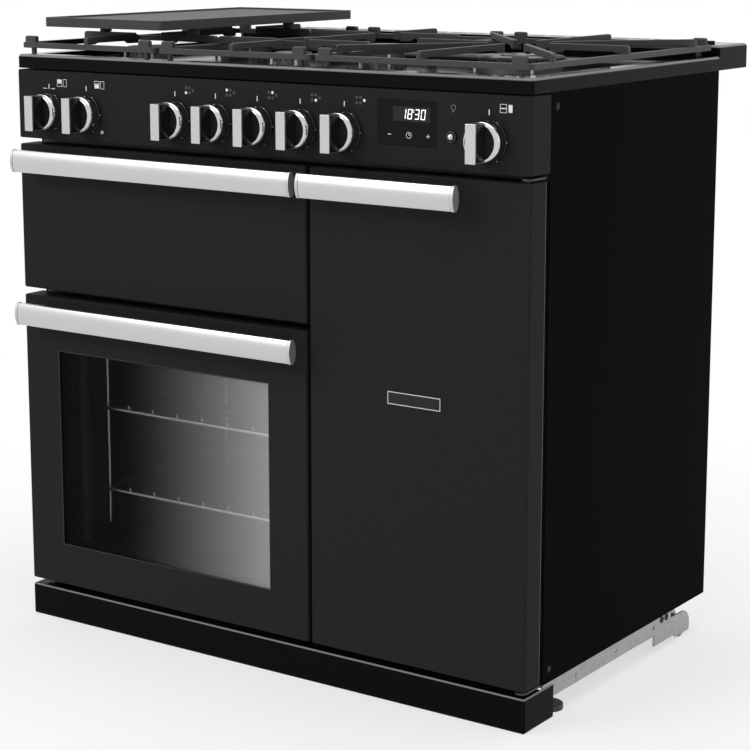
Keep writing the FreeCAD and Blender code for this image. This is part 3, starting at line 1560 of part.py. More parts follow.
# ---------------------------------------------------------------- all nodes
def build_nodes():
    """Every node of the cooker by name."""
    edges = support_edges()
    nodes = {
        "side_panel_right": side_panel(),
        "side_panel_left": mirrored(side_panel()),
        "front_frame": front_frame(),
        "base_tray": base_tray(),
        "rear_panel": rear_panel(),
        "plinth": plinth(),
        "base_rails": base_rails(),
        "rear_roller_right": roller(),
        "rear_roller_left": mirrored(roller()),
        "levelling_feet": levelling_feet(),
        "body_screws": body_screws(),
        "main_oven_cavity": cavity("main"),
        "grill_cavity": joined([cavity("grill")] + grill_runners()),
        "tall_oven_cavity": cavity("tall"),
        "door_seals": group([seal("main"), seal("grill"), seal("tall")]),
        "door_hinges": door_hinges(),
        "grill_door_panel": drop_door_skin(left_edge, left_door_right, grill_bottom, grill_top),
        "grill_door_liner": drop_door_liner(left_edge, left_door_right, grill_bottom, grill_top),
        "grill_door_handle": left_handle(grill_top - handle_drop),
        "main_door_panel": main_door_skin(),
        "main_door_liner": main_door_liner(),
        "main_door_glass": group([door_pane(front + panel_wall), door_pane(liner_plate - pane)]),
        "main_door_handle": left_handle(main_top - main_handle_drop),
        "tall_door_panel": tall_door_skin(),
        "tall_door_liner": tall_door_liner(),
        "tall_door_handle": tall_handle(),
        "control_panel": control_panel(),
        "display_window": display_window(),
        "clock_module": clock_module(),
        "lamp_button": lamp_button(),
        "lenses": lenses(),
        "control_spindles": control_spindles(),
        "hob_tray": hob_tray(),
        "rear_vent_trim": rear_vent_trim(),
        "burner_cups": burner_cups(),
        "flame_rings": flame_rings(),
        "burner_caps": burner_caps(),
        "spark_electrodes": spark_electrodes(),
        "pan_support_left": twin_support(*edges["left"]),
        "pan_support_centre": twin_support(*edges["centre"]),
        "pan_support_right": wok_support(*edges["right"]),
        "griddle_plate": griddle_plate(),
        "shelf_ladders": shelf_ladders(),
        "wire_racks": wire_racks(),
        "grill_pan": grill_pan(),
        "heating_elements": heating_elements(),
        "main_oven_fan": oven_fan("main"),
        "tall_oven_fan": oven_fan("tall"),
        "fan_motors": fan_motors(),
        "fan_covers": fan_covers(),
        "gas_pipes": gas_pipes(),
        "terminal_box": terminal_box(),
    }
    for name, x in knob_places():
        nodes[name] = knob(x)
    return nodes


def main():
    """Write each node to its own file."""
    os.makedirs("parts", exist_ok=True)
    for name, shape in build_nodes().items():
        shape.exportStep(os.path.join("parts", name + ".step"))
        print(name, len(shape.Solids), "solids", "valid" if shape.isValid() else "NOT VALID")


main()
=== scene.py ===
import json
import logging
import math
from dataclasses import dataclass
from enum import Enum
from typing import Any, Iterable, Sequence, Union

import bmesh
import bpy
from mathutils import Matrix, Vector

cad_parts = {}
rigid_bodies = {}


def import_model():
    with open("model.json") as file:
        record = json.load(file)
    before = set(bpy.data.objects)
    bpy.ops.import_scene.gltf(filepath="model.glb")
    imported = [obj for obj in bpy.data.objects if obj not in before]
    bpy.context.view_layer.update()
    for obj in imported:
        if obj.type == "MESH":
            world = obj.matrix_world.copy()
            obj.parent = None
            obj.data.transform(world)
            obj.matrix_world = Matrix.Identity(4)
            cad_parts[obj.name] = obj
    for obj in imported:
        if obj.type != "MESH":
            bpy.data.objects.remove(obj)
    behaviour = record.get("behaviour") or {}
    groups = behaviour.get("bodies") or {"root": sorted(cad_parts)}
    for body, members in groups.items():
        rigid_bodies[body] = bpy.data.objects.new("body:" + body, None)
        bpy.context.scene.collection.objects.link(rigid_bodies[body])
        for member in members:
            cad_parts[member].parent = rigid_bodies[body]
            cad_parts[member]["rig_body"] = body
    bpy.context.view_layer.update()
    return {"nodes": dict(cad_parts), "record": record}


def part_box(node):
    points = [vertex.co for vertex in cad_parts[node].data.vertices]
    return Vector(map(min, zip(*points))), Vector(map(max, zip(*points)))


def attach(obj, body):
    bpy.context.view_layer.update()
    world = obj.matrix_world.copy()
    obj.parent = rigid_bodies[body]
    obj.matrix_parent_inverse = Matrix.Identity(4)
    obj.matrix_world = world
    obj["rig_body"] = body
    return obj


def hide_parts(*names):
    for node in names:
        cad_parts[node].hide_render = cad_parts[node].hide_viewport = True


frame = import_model()

log = logging.getLogger("range_cooker")

Colour = tuple[float, float, float]
Point = tuple[float, float, float]
Pair = tuple[float, float]
Edges = tuple[float, float, float, float]
MILLIMETRE = 0.001
FULL_TURN = math.tau
OUT_OF_DOOR = Vector((0.0, -1.0, 0.0))
WHITE = (1.0, 1.0, 1.0, 1.0)
GRAIN_DETAIL = 3.0
RELIEF_DETAIL = 4.0
WAVE_DISTORTION = 1.5
SAME_POINT = 1e-6
SHARP_ANGLE = math.radians(35.0)


# ------------------------------------------------------------------ shader maths
class Shade:
    """A number that varies over a surface, with Python's arithmetic."""

    def __init__(self, tree: "FinishTree", socket: bpy.types.NodeSocket) -> None:
        """Wraps one output socket of a tree."""
        self.tree = tree
        self.socket = socket

    def _maths(self, operation: str, first: Any, second: Any = 0.0, clamp: bool = False) -> "Shade":
        """Adds one Math node.

        Args:
            operation: the Math node's operation.
            first: a Shade or a number.
            second: a Shade or a number.
            clamp: whether the result is kept from 0 to 1.

        Returns:
            The node's result.
        """
        settings = {"operation": operation, "use_clamp": clamp}
        node = self.tree.node("ShaderNodeMath", settings, {0: first, 1: second})
        return Shade(self.tree, node.outputs[0])

    def __add__(self, other: Any) -> "Shade":
        """Sum."""
        return self._maths("ADD", self, other)

    def __radd__(self, other: Any) -> "Shade":
        """Sum with a number on the left."""
        return self._maths("ADD", other, self)

    def __sub__(self, other: Any) -> "Shade":
        """Difference."""
        return self._maths("SUBTRACT", self, other)

    def __rsub__(self, other: Any) -> "Shade":
        """Difference with a number on the left."""
        return self._maths("SUBTRACT", other, self)

    def __mul__(self, other: Any) -> "Shade":
        """Product."""
        return self._maths("MULTIPLY", self, other)

    def __rmul__(self, other: Any) -> "Shade":
        """Product with a number on the left."""
        return self._maths("MULTIPLY", other, self)

    def __truediv__(self, other: Any) -> "Shade":
        """Quotient."""
        return self._maths("DIVIDE", self, other)

    def __lt__(self, other: Any) -> "Shade":
        """1 where this is below the other, else 0."""
        return self._maths("LESS_THAN", self, other)

    def held(self) -> "Shade":
        """The same, kept from 0 to 1."""
        return self._maths("ADD", self, 0.0, clamp=True)

    def ramp(self, low: float, high: float) -> "Shade":
        """0 at low and 1 at high, straight between them."""
        return ((self - low) / (high - low)).held()


class FinishTree:
    """The nodes of one material or of the world."""

    def __init__(self, owner: Union[bpy.types.Material, bpy.types.World]) -> None:
        """Empties the owner's node tree."""
        owner.use_nodes = True
        self.tree = owner.node_tree
        self.tree.nodes.clear()

    def node(self, kind: str, settings: dict[str, Any], inputs: dict[Any, Any]) -> bpy.types.Node:
        """Adds one node.

        Args:
            kind: the node's type name.
            settings: attributes that are set first.
            inputs: socket name or number to a number, a colour, a socket or a Shade.

        Returns:
            The new node.
        """
        node = self.tree.nodes.new(kind)
        for key, value in settings.items():
            setattr(node, key, value)
        for key, value in inputs.items():
            source = value.socket if isinstance(value, Shade) else value
            if isinstance(source, bpy.types.NodeSocket):
                self.tree.links.new(source, node.inputs[key])
            else:
                node.inputs[key].default_value = source
        return node

    def place(self, stretch: Point) -> bpy.types.NodeSocket:
        """Object coordinates, stretched along the three axes."""
        source = self.node("ShaderNodeTexCoord", {}, {})
        inputs = {"Vector": source.outputs["Object"], "Scale": stretch}
        mapping = self.node("ShaderNodeMapping", {}, inputs)
        return mapping.outputs[0]

    def axes(self) -> tuple[Shade, Shade, Shade]:
        """The three object coordinates, in metres."""
        source = self.node("ShaderNodeTexCoord", {}, {})
        split = self.node("ShaderNodeSeparateXYZ", {}, {0: source.outputs["Object"]})
        return tuple(Shade(self, socket) for socket in split.outputs)

    def noise(self, place: bpy.types.NodeSocket, scale: float, detail: float) -> Shade:
        """Cloudy noise from 0 to 1."""
        inputs = {"Vector": place, "Scale": scale, "Detail": detail}
        return Shade(self, self.node("ShaderNodeTexNoise", {}, inputs).outputs[0])

    def cells(self, place: bpy.types.NodeSocket, scale: float) -> Shade:
        """Distance to the nearest of a scatter of points."""
        node = self.node("ShaderNodeTexVoronoi", {}, {"Vector": place, "Scale": scale})
        return Shade(self, node.outputs["Distance"])

    def cell_tone(self, place: bpy.types.NodeSocket, scale: float) -> Shade:
        """One random number for each cell of a scatter of points."""
        node = self.node("ShaderNodeTexVoronoi", {}, {"Vector": place, "Scale": scale})
        split = self.node("ShaderNodeSeparateXYZ", {}, {0: node.outputs["Color"]})
        return Shade(self, split.outputs[0])

    def waves(self, place: bpy.types.NodeSocket, scale: float) -> Shade:
        """Diagonal bands from 0 to 1."""
        settings = {"bands_direction": "DIAGONAL"}
        inputs = {"Vector": place, "Scale": scale, "Distortion": WAVE_DISTORTION}
        return Shade(self, self.node("ShaderNodeTexWave", settings, inputs).outputs[1])

    def blend(self, share: Any, first: Any, second: Any) -> bpy.types.NodeSocket:
        """A colour between two.

        Args:
            share: how much of the second.
            first: a colour or a colour socket.
            second: a colour or a colour socket.

        Returns:
            The colour's socket.
        """
        inputs = {0: share, 6: self.colour(first), 7: self.colour(second)}
        return self.node("ShaderNodeMix", {"data_type": "RGBA"}, inputs).outputs[2]

    def colour(self, value: Any) -> Any:
        """A colour with its fourth number, or the socket as it is."""
        return value if isinstance(value, bpy.types.NodeSocket) else (*value, 1.0)

    def relief(self, height: Shade, depth: float) -> bpy.types.NodeSocket:
        """A normal bent by a height of the given depth, in metres."""
        return self.node("ShaderNodeBump", {}, {"Height": height, "Distance": depth}).outputs[0]


# ------------------------------------------------------------------ finishes
@dataclass(frozen=True)
class Finish:
    """A plain finish with a fine grain in its tone, its gloss and its relief.

    The grain and the relief are in points to the metre, and the depth in metres.
    """

    name: str
    colour: Colour
    roughness: float
    metallic: float = 0.0
    specular: float = 0.5
    grain: float = 350.0
    tone: float = 0.12
    gloss: float = 0.06
    relief: float = 900.0
    depth: float = 0.0
    stretch: Point = (1.0, 1.0, 1.0)

    def toned(self, change: float) -> Colour:
        """The finish's colour, lighter or darker by a share."""
        return tuple(min(1.0, part * (1.0 + change)) for part in self.colour)

    def sockets(self, tree: FinishTree) -> dict[str, Any]:
        """What the surface's sockets hold.

        Args:
            tree: the material's tree.

        Returns:
            Socket name to a value or a link.
        """
        place = tree.place(self.stretch)
        grain = tree.noise(place, self.grain, GRAIN_DETAIL)
        held = {
            "Base Color": tree.blend(grain, self.toned(-self.tone), self.toned(self.tone)),
            "Roughness": (self.roughness + (grain - 0.5) * self.gloss).held(),
            "Metallic": self.metallic,
            "Specular IOR Level": self.specular,
        }
        if self.depth > 0.0:
            held["Normal"] = tree.relief(tree.noise(place, self.relief, RELIEF_DETAIL), self.depth)
        return held

    def build(self) -> bpy.types.Material:
        """Makes the material."""
        material = bpy.data.materials.new(self.name)
        tree = FinishTree(material)
        surface = tree.node("ShaderNodeBsdfPrincipled", {}, self.sockets(tree))
        tree.node("ShaderNodeOutputMaterial", {}, {"Surface": surface.outputs[0]})
        return material


@dataclass(frozen=True)
class SpeckledEnamel(Finish):
    """Oven enamel with small pale specks."""

    speck: Colour = (0.30, 0.32, 0.36)
    speck_scale: float = 420.0
    speck_size: float = 0.13

    def sockets(self, tree: FinishTree) -> dict[str, Any]:
        """Adds the specks to the plain finish."""
        held = super().sockets(tree)
        specks = tree.cells(tree.place(self.stretch), self.speck_scale) < self.speck_size
        held["Base Color"] = tree.blend(specks, held["Base Color"], self.speck)
        return held


@dataclass(frozen=True)
class SpangledZinc(Finish):
    """Galvanised sheet with its patchwork of crystals."""

    spangle: float = 130.0
    darkest: float = -0.10
    palest: float = 0.08

    def sockets(self, tree: FinishTree) -> dict[str, Any]:
        """Sets tone and gloss by the crystal."""
        held = super().sockets(tree)
        crystal = tree.cell_tone(tree.place(self.stretch), self.spangle)
        held["Base Color"] = tree.blend(crystal, self.toned(self.darkest), self.toned(self.palest))
        held["Roughness"] = self.roughness + crystal * self.gloss
        return held


@dataclass(frozen=True)
class EdgeHighlightEnamel(Finish):
    """Black enamel on sheet with rolled edges, on which thin pale lines are painted as a painted
    highlight.
    """

    # Pale colour of the painted highlight on the rolled edges.
    edge: Colour = (0.24, 0.24, 0.242)
    highlight_from: float = 0.22
    highlight_full: float = 0.52
    highlight_fade: float = 0.93
    highlight_end: float = 0.99

    def sockets(self, tree: FinishTree) -> dict[str, Any]:
        """Paints a highlight by how far a face leans back: faces on the rolled edges are painted
        paler.
        """
        held = super().sockets(tree)
        lie = tree.node("ShaderNodeNewGeometry", {}, {})
        apart = tree.node("ShaderNodeSeparateXYZ", {}, {0: lie.outputs["Normal"]})
        up = Shade(tree, apart.outputs[2])
        # Painted highlight: faces that lean part way up, but don't lie flat, take the pale edge
        # colour.
        lying = up.ramp(self.highlight_fade, self.highlight_end)
        rolled = up.ramp(self.highlight_from, self.highlight_full) * (1.0 - lying)
        held["Base Color"] = tree.blend(rolled, held["Base Color"], self.edge)
        return held


@dataclass(frozen=True)
class WovenRope(Finish):
    """Glass rope with a diagonal weave."""

    weave: float = 260.0
    contrast: float = 0.35

    def sockets(self, tree: FinishTree) -> dict[str, Any]:
        """Adds the weave to the plain finish."""
        held = super().sockets(tree)
        weave = tree.waves(tree.place(self.stretch), self.weave)
        dark, pale = self.toned(-self.contrast), self.toned(self.contrast)
        held["Base Color"] = tree.blend(weave, dark, pale)
        held["Normal"] = tree.relief(weave, self.depth)
        return held


@dataclass(frozen=True)
class OvenGlass(Finish):
    """The window's panes: a dark outer one with a painted reflection, a pale tint that grows to the
    right, and a clear one.
    """

    split: float = -0.275
    outer_cover: float = 0.36
    inner_cover: float = 0.03
    reflection_start: float = -0.27
    reflection_full: float = 0.03
    painted_reflection: Colour = (0.60, 0.60, 0.606)

    def sockets(self, tree: FinishTree) -> dict[str, Any]:
        """Sets cover by the place on the panes, and paints a reflection on the outer pane that
        grows to the right.
        """
        held = super().sockets(tree)
        across, back, _ = tree.axes()
        outer = back < self.split
        # Painted reflection: the outer pane's colour grows paler towards the right, standing in for
        # a reflection in the glass.
        share = across.ramp(self.reflection_start, self.reflection_full)
        held["Base Color"] = tree.blend(outer * share * share, held["Base Color"], self.painted_reflection)
        held["Alpha"] = self.inner_cover + outer * (self.outer_cover - self.inner_cover)
        return held


@dataclass(frozen=True)
class LensGlass(Finish):
    """The small front lens and the oven lamp's glass, told apart by their place."""

    split: float = -0.2
    front: Colour = (0.45, 0.44, 0.42)
    lamp_cover: float = 0.55

    def sockets(self, tree: FinishTree) -> dict[str, Any]:
        """Sets the tone and the cover by the depth in the cooker."""
        held = super().sockets(tree)
        in_front = tree.axes()[1] < self.split
        held["Base Color"] = tree.blend(in_front, held["Base Color"], self.front)
        held["Alpha"] = self.lamp_cover + in_front * (1.0 - self.lamp_cover)
        return held


@dataclass(frozen=True)
class LitSegment(Finish):
    """Lit digits of the clock."""

    glow: float = 0.9

    def sockets(self, tree: FinishTree) -> dict[str, Any]:
        """Adds the light to the plain finish."""
        held = super().sockets(tree)
        held["Emission Color"] = held["Base Color"]
        held["Emission Strength"] = self.glow
        return held


@dataclass(frozen=True)
class StudioFloor(Finish):
    """White floor that fades into the white background away from the cooker."""

    fade_start: float = 0.60
    fade_end: float = 1.35
    own_glow: float = 0.6

    def build(self) -> bpy.types.Material:
        """Makes the floor's material."""
        material = bpy.data.materials.new(self.name)
        tree = FinishTree(material)
        across, back, _ = tree.axes()
        grain = tree.noise(tree.place(self.stretch), self.grain, GRAIN_DETAIL)
        colour = tree.blend(grain, self.toned(-self.tone), self.toned(self.tone))
        painted = tree.node("ShaderNodeBsdfDiffuse", {}, {"Color": colour})
        white = tree.node("ShaderNodeEmission", {}, {"Color": WHITE, "Strength": 1.0})
        reach = across * across + back * back
        faded = reach.ramp(self.fade_start ** 2, self.fade_end ** 2)
        share = self.own_glow + faded * (1.0 - self.own_glow)
        inputs = {0: share, 1: painted.outputs[0], 2: white.outputs[0]}
        mixed = tree.node("ShaderNodeMixShader", {}, inputs)
        tree.node("ShaderNodeOutputMaterial", {}, {"Surface": mixed.outputs[0]})
        return material


class Look(Enum):
    """Every finish on the cooker and round it."""

    SATIN_BLACK = Finish("satin_black", (0.0190, 0.0190, 0.0194), 0.46, specular=0.02,
                         depth=0.00002, relief=1400.0)
    # Painted shade: the side panels' black paint is set far darker than the doors' satin black,
    # standing in for the shade on the sides turned away from the lamps.
    SHADED_SIDE_BLACK = Finish("side_black_painted_shade", (0.0022, 0.0022, 0.0023), 0.5, specular=0.007,
                        depth=0.00002, relief=1400.0)
    PLINTH_ENAMEL = EdgeHighlightEnamel("plinth_enamel", (0.0035, 0.0035, 0.0037), 0.12, specular=0.03,
                                 gloss=0.03, grain=60.0)
    GLOSS_ENAMEL = EdgeHighlightEnamel("gloss_enamel", (0.0040, 0.0040, 0.0043), 0.09, specular=0.04,
                                gloss=0.04, grain=60.0)
    OVEN_ENAMEL = SpeckledEnamel("oven_enamel", (0.012, 0.0125, 0.0145), 0.34)
    ZINC = SpangledZinc("galvanised_zinc", (0.36, 0.365, 0.37), 0.32, metallic=0.95, gloss=0.12)
    PLAIN_STEEL = Finish("plain_steel", (0.52, 0.52, 0.53), 0.34, metallic=1.0, tone=0.08,
                         stretch=(1.0, 8.0, 8.0))
    SATIN_ALUMINIUM = Finish("satin_aluminium", (0.56, 0.56, 0.565), 0.30, metallic=1.0, tone=0.01,
                             gloss=0.03, grain=900.0, stretch=(0.04, 1.0, 1.0))
    SATIN_PLATE = Finish("satin_plate", (0.55, 0.55, 0.555), 0.28, metallic=1.0, tone=0.02,
                         gloss=0.04, grain=1600.0, stretch=(1.0, 1.0, 0.05))
    CAP_SATIN = Finish("cap_satin", (0.52, 0.52, 0.525), 0.46, metallic=0.85, tone=0.02,
                       gloss=0.04)
    DARK_STEEL = Finish("dark_steel", (0.060, 0.060, 0.062), 0.42, metallic=1.0, tone=0.08)
    CHROME = Finish("bright_chrome", (0.58, 0.58, 0.585), 0.12, metallic=1.0, tone=0.02, gloss=0.04)
    WIRE_CHROME = Finish("bright_wire", (0.86, 0.86, 0.87), 0.20, metallic=1.0, tone=0.04)
    CAST_ALUMINIUM = Finish("cast_aluminium", (0.15, 0.15, 0.15), 0.42, metallic=0.9, tone=0.14,
                            depth=0.00008, relief=1600.0)
    CAP_ENAMEL = Finish("cap_enamel", (0.008, 0.008, 0.0085), 0.34, specular=0.35, depth=0.00003)
    CAST_IRON = Finish("cast_iron", (0.018, 0.018, 0.0185), 0.52, specular=0.50, tone=0.35,
                       gloss=0.16, grain=700.0, depth=0.00022, relief=1100.0)
    KNOB_BLACK = Finish("knob_black", (0.006, 0.006, 0.0065), 0.22, specular=0.4)
    DISC_BLACK = Finish("fluted_black", (0.014, 0.014, 0.015), 0.30, specular=0.5)
    DISPLAY_BLACK = Finish("display_black", (0.008, 0.008, 0.0084), 0.05, specular=0.06, gloss=0.02)
    DISPLAY_PANE = Finish("display_pane", (0.026, 0.026, 0.028), 0.12, specular=0.06, gloss=0.02)
    DARK_PLASTIC = Finish("dark_plastic", (0.02, 0.02, 0.02), 0.5, depth=0.00003)
    ROLLER_PLASTIC = Finish("roller_plastic", (0.055, 0.055, 0.056), 0.45, depth=0.00003)
    BLACK_SCREW = Finish("black_screw", (0.010, 0.010, 0.010), 0.38, specular=0.1)
    SEAL_ROPE = WovenRope("seal_rope", (0.06, 0.06, 0.058), 0.75, depth=0.0004)
    CERAMIC = Finish("glazed_ceramic", (0.80, 0.79, 0.75), 0.22, tone=0.04)
    ELEMENT = Finish("element_sheath", (0.13, 0.12, 0.115), 0.48, metallic=0.8, tone=0.25)
    WINDOW = OvenGlass("window_glass", (0.003, 0.003, 0.0035), 0.04, specular=0.06, gloss=0.01)
    LENSES = LensGlass("lens_glass", (0.55, 0.54, 0.50), 0.12)
    WHITE_INK = Finish("white_ink", (0.78, 0.78, 0.78), 0.45, tone=0.05)
    GREY_INK = Finish("grey_ink", (0.22, 0.22, 0.22), 0.45, tone=0.05)
    LIT_DIGIT = LitSegment("lit_digit", (0.85, 0.87, 0.90), 0.4, tone=0.03)
    FLOOR = StudioFloor("studio_floor", (0.93, 0.93, 0.93), 0.9, grain=20.0, tone=0.01)


class Paint:
    """Builds each finish once and hands out its material."""

    def __init__(self) -> None:
        """Starts with no material made."""
        self.made: dict[str, bpy.types.Material] = {}

    def of(self, look: Look) -> bpy.types.Material:
        """The look's material, made at its first use."""
        if look.name not in self.made:
            self.made[look.name] = look.value.build()
        return self.made[look.name]


PAINT = Paint()


# ------------------------------------------------------------------ shaping
def moved(shape: bmesh.types.BMesh, matrix: Matrix) -> bmesh.types.BMesh:
    """Carries every point of a shape by a matrix."""
    bmesh.ops.transform(shape, matrix=matrix, verts=shape.verts)
    return shape


def eased(shape: bmesh.types.BMesh, width: float, steps: int = 2) -> bmesh.types.BMesh:
    """Rounds every sharp edge of a shape.

    Args:
        shape: the shape.
        width: the rounding, in metres; nothing happens at 0.
        steps: facets across each rounding.

    Returns:
        The same shape.
    """
    if width > 0.0:
        sharp = [edge for edge in shape.edges if edge.calc_face_angle(0.0) > SHARP_ANGLE]
        bmesh.ops.bevel(shape, geom=sharp, offset=width, offset_type="OFFSET", segments=steps,
                        profile=0.5, affect="EDGES", material=-1)
    return shape


def slab(low: Sequence[float], high: Sequence[float], ease: float = 0.0) -> bmesh.types.BMesh:
    """Box between two corners.

    Args:
        low: the lowest corner.
        high: the highest corner.
        ease: rounding of its edges, in metres.

    Returns:
        The shape.
    """
    shape = bmesh.new()
    bmesh.ops.create_cube(shape, size=1.0)
    low_corner, high_corner = Vector(low), Vector(high)
    size = high_corner - low_corner
    middle = (low_corner + high_corner) / 2.0
    moved(shape, Matrix.Translation(middle) @ Matrix.Diagonal((*size, 1.0)))
    return eased(shape, ease)


def border(x0: float, x1: float, z0: float, z1: float, line: float) -> tuple[Edges, ...]:
    """The four strips of a rectangle's border, each as left, right, lower and upper edge."""
    return ((x0, x1, z0, z0 + line), (x0, x1, z1 - line, z1),
            (x0, x0 + line, z0 + line, z1 - line), (x1 - line, x1, z0 + line, z1 - line))


def turned(axis: Vector) -> Matrix:
    """Turn that carries +Z to an axis."""
    return Vector((0.0, 0.0, 1.0)).rotation_difference(axis).to_matrix().to_4x4()


def bar(start: Sequence[float], end: Sequence[float], radius: float, steps: int = 20,
        ease: float = 0.0) -> bmesh.types.BMesh:
    """Round bar between two points.

    Args:
        start: one end's middle.
        end: the other end's middle.
        radius: the bar's radius.
        steps: sides of its section.
        ease: rounding of its end edges.

    Returns:
        The shape.
    """
    shape = bmesh.new()
    line = Vector(end) - Vector(start)
    bmesh.ops.create_cone(shape, cap_ends=True, cap_tris=False, segments=steps, radius1=radius,
                          radius2=radius, depth=line.length)
    middle = (Vector(start) + Vector(end)) / 2.0
    moved(shape, Matrix.Translation(middle) @ turned(line.normalized()))
    return eased(shape, ease)


def lathed(profile: Iterable[tuple[float, float]], centre: Sequence[float], axis: Vector,
           steps: int = 64) -> bmesh.types.BMesh:
    """Solid of revolution.

    Args:
        profile: closed outline as (radius, height along the axis) pairs.
        centre: the point at height 0.
        axis: direction of growing height.
        steps: facets round the axis.

    Returns:
        The shape.
    """
    shape = bmesh.new()
    corners = [shape.verts.new((radius, 0.0, height)) for radius, height in profile]
    edges = [shape.edges.new(pair) for pair in zip(corners, corners[1:] + corners[:1])]
    bmesh.ops.spin(shape, geom=corners + edges, cent=(0, 0, 0), axis=(0, 0, 1), dvec=(0, 0, 0),
                   angle=FULL_TURN, steps=steps, use_merge=True, use_normal_flip=False,
                   use_duplicate=False)
    bmesh.ops.remove_doubles(shape, verts=shape.verts, dist=SAME_POINT)
    bmesh.ops.recalc_face_normals(shape, faces=shape.faces)
    return moved(shape, Matrix.Translation(Vector(centre)) @ turned(axis))


def washer(centre: Sequence[float], outer: float, inner: float, thick: float,
           steps: int = 32) -> bmesh.types.BMesh:
    """Flat ring that faces out of the fascia.

    Args:
        centre: middle of its back face.
        outer: outer radius.
        inner: inner radius.
        thick: thickness from back to front.
        steps: facets round the axis.

    Returns:
        The shape.
    """
    outline = ((inner, 0.0), (outer, 0.0), (outer, thick), (inner, thick))
    return lathed(outline, centre, OUT_OF_DOOR, steps)


def prism(outline: Iterable[Sequence[float]], travel: Sequence[float]) -> bmesh.types.BMesh:
    """Flat outline carried along a line.

    Args:
        outline: corners in order.
        travel: the way it is carried.

    Returns:
        The shape.
    """
    shape = bmesh.new()
    face = shape.faces.new([shape.verts.new(corner) for corner in outline])
    grown = bmesh.ops.extrude_face_region(shape, geom=[face], use_keep_orig=True)
    fresh = [item for item in grown["geom"] if isinstance(item, bmesh.types.BMVert)]
    bmesh.ops.translate(shape, verts=fresh, vec=Vector(travel))
    bmesh.ops.recalc_face_normals(shape, faces=shape.faces)
    return shape


def linked(name: str, data: Any) -> bpy.types.Object:
    """A new object in the scene, with the given data."""
    thing = bpy.data.objects.new(name, data)
    bpy.context.scene.collection.objects.link(thing)
    return thing


def face_of(node: str) -> float:
    """Depth position of a CAD node's front."""
    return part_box(node)[0].y


def middle_of(node: str) -> Pair:
    """The middle of a CAD node seen from the front, across and up."""
    low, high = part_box(node)
    return (low.x + high.x) / 2.0, (low.z + high.z) / 2.0


class Form:
    """A piece in the making: shapes gathered in one mesh, each in its own finish."""

    def __init__(self, name: str, body: str, slot: str) -> None:
        """Starts an empty piece that rides on a CAD body."""
        self.name = name
        self.body = body
        self.slot = slot
        self.looks: list[Look] = []
        self.mesh = bmesh.new()

    def add(self, shape: bmesh.types.BMesh, look: Look) -> None:
        """Takes a shape in.

        Args:
            shape: the shape, which is used up.
            look: its finish.
        """
        if look not in self.looks:
            self.looks.append(look)
        for face in shape.faces:
            face.material_index = self.looks.index(look)
            face.smooth = True
        bmesh.ops.recalc_face_normals(shape, faces=shape.faces)
        scratch = bpy.data.meshes.new("scratch")
        shape.to_mesh(scratch)
        shape.free()
        self.mesh.from_mesh(scratch)
        bpy.data.meshes.remove(scratch)

    def finish(self, *replaced: str) -> None:
        """Makes the object and hands it to the frame.

        Args:
            replaced: CAD nodes that it stands for.
        """
        data = bpy.data.meshes.new(self.name)
        self.mesh.to_mesh(data)
        self.mesh.free()
        data.set_sharp_from_angle(angle=SHARP_ANGLE)
        piece = linked(self.name, data)
        for look in self.looks:
            data.materials.append(PAINT.of(look))
        flat = piece.modifiers.new("flat_faces", "WEIGHTED_NORMAL")
        flat.keep_sharp = True
        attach(piece, self.body)
        if replaced:
            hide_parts(*replaced)
        log.info("piece %s rides on %s, %d faces", self.name, self.body, len(data.polygons))


def slot_of(node: str) -> str:
    """The record's material slot of a CAD node."""
    for row in frame["record"]["subparts"]:
        if row["node"] == node:
            return row["material_slot"]
    return node


def body_of(node: str) -> str:
    """The CAD body of a node."""
    return frame["nodes"][node]["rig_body"]


# ------------------------------------------------------------------ CAD nodes, eased or as they are
@dataclass
class EasedNode:
    """A copy of a CAD node with merged points and slightly rounded edges, in the node's place."""

    node: str
    look: Look
    ease: float = 0.0
    steps: int = 2
    flat_angle: float = math.radians(0.5)
    smooth_angle: float = math.radians(32.0)
    ease_angle: float = math.radians(40.0)

    def build(self) -> None:
        """Makes the copy."""
        shape = bmesh.new()
        shape.from_mesh(frame["nodes"][self.node].data)
        bmesh.ops.remove_doubles(shape, verts=shape.verts, dist=SAME_POINT)
        bmesh.ops.dissolve_limit(shape, angle_limit=self.flat_angle, use_dissolve_boundaries=False,
                                 verts=shape.verts, edges=shape.edges, delimit=set())
        data = bpy.data.meshes.new(self.node + "_finished")
        for face in shape.faces:
            face.smooth = True
        shape.to_mesh(data)
        shape.free()
        for extra in ("custom_normal", "sharp_edge"):
            if extra in data.attributes:
                data.attributes.remove(data.attributes[extra])
        data.set_sharp_from_angle(angle=self.smooth_angle)
        data.materials.clear()
        data.materials.append(PAINT.of(self.look))
        piece = linked(data.name, data)
        if self.ease > 0.0:
            rounding = piece.modifiers.new("eased_edges", "BEVEL")
            rounding.width = self.ease
            rounding.segments = self.steps
            rounding.limit_method = "ANGLE"
            rounding.angle_limit = self.ease_angle
            rounding.use_clamp_overlap = True
        flat = piece.modifiers.new("flat_faces", "WEIGHTED_NORMAL")
        flat.keep_sharp = True
        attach(piece, body_of(self.node))
        slot_of(self.node)
        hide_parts(self.node)
        log.info("piece %s, eased by %.1f mm", piece.name, self.ease / MILLIMETRE)


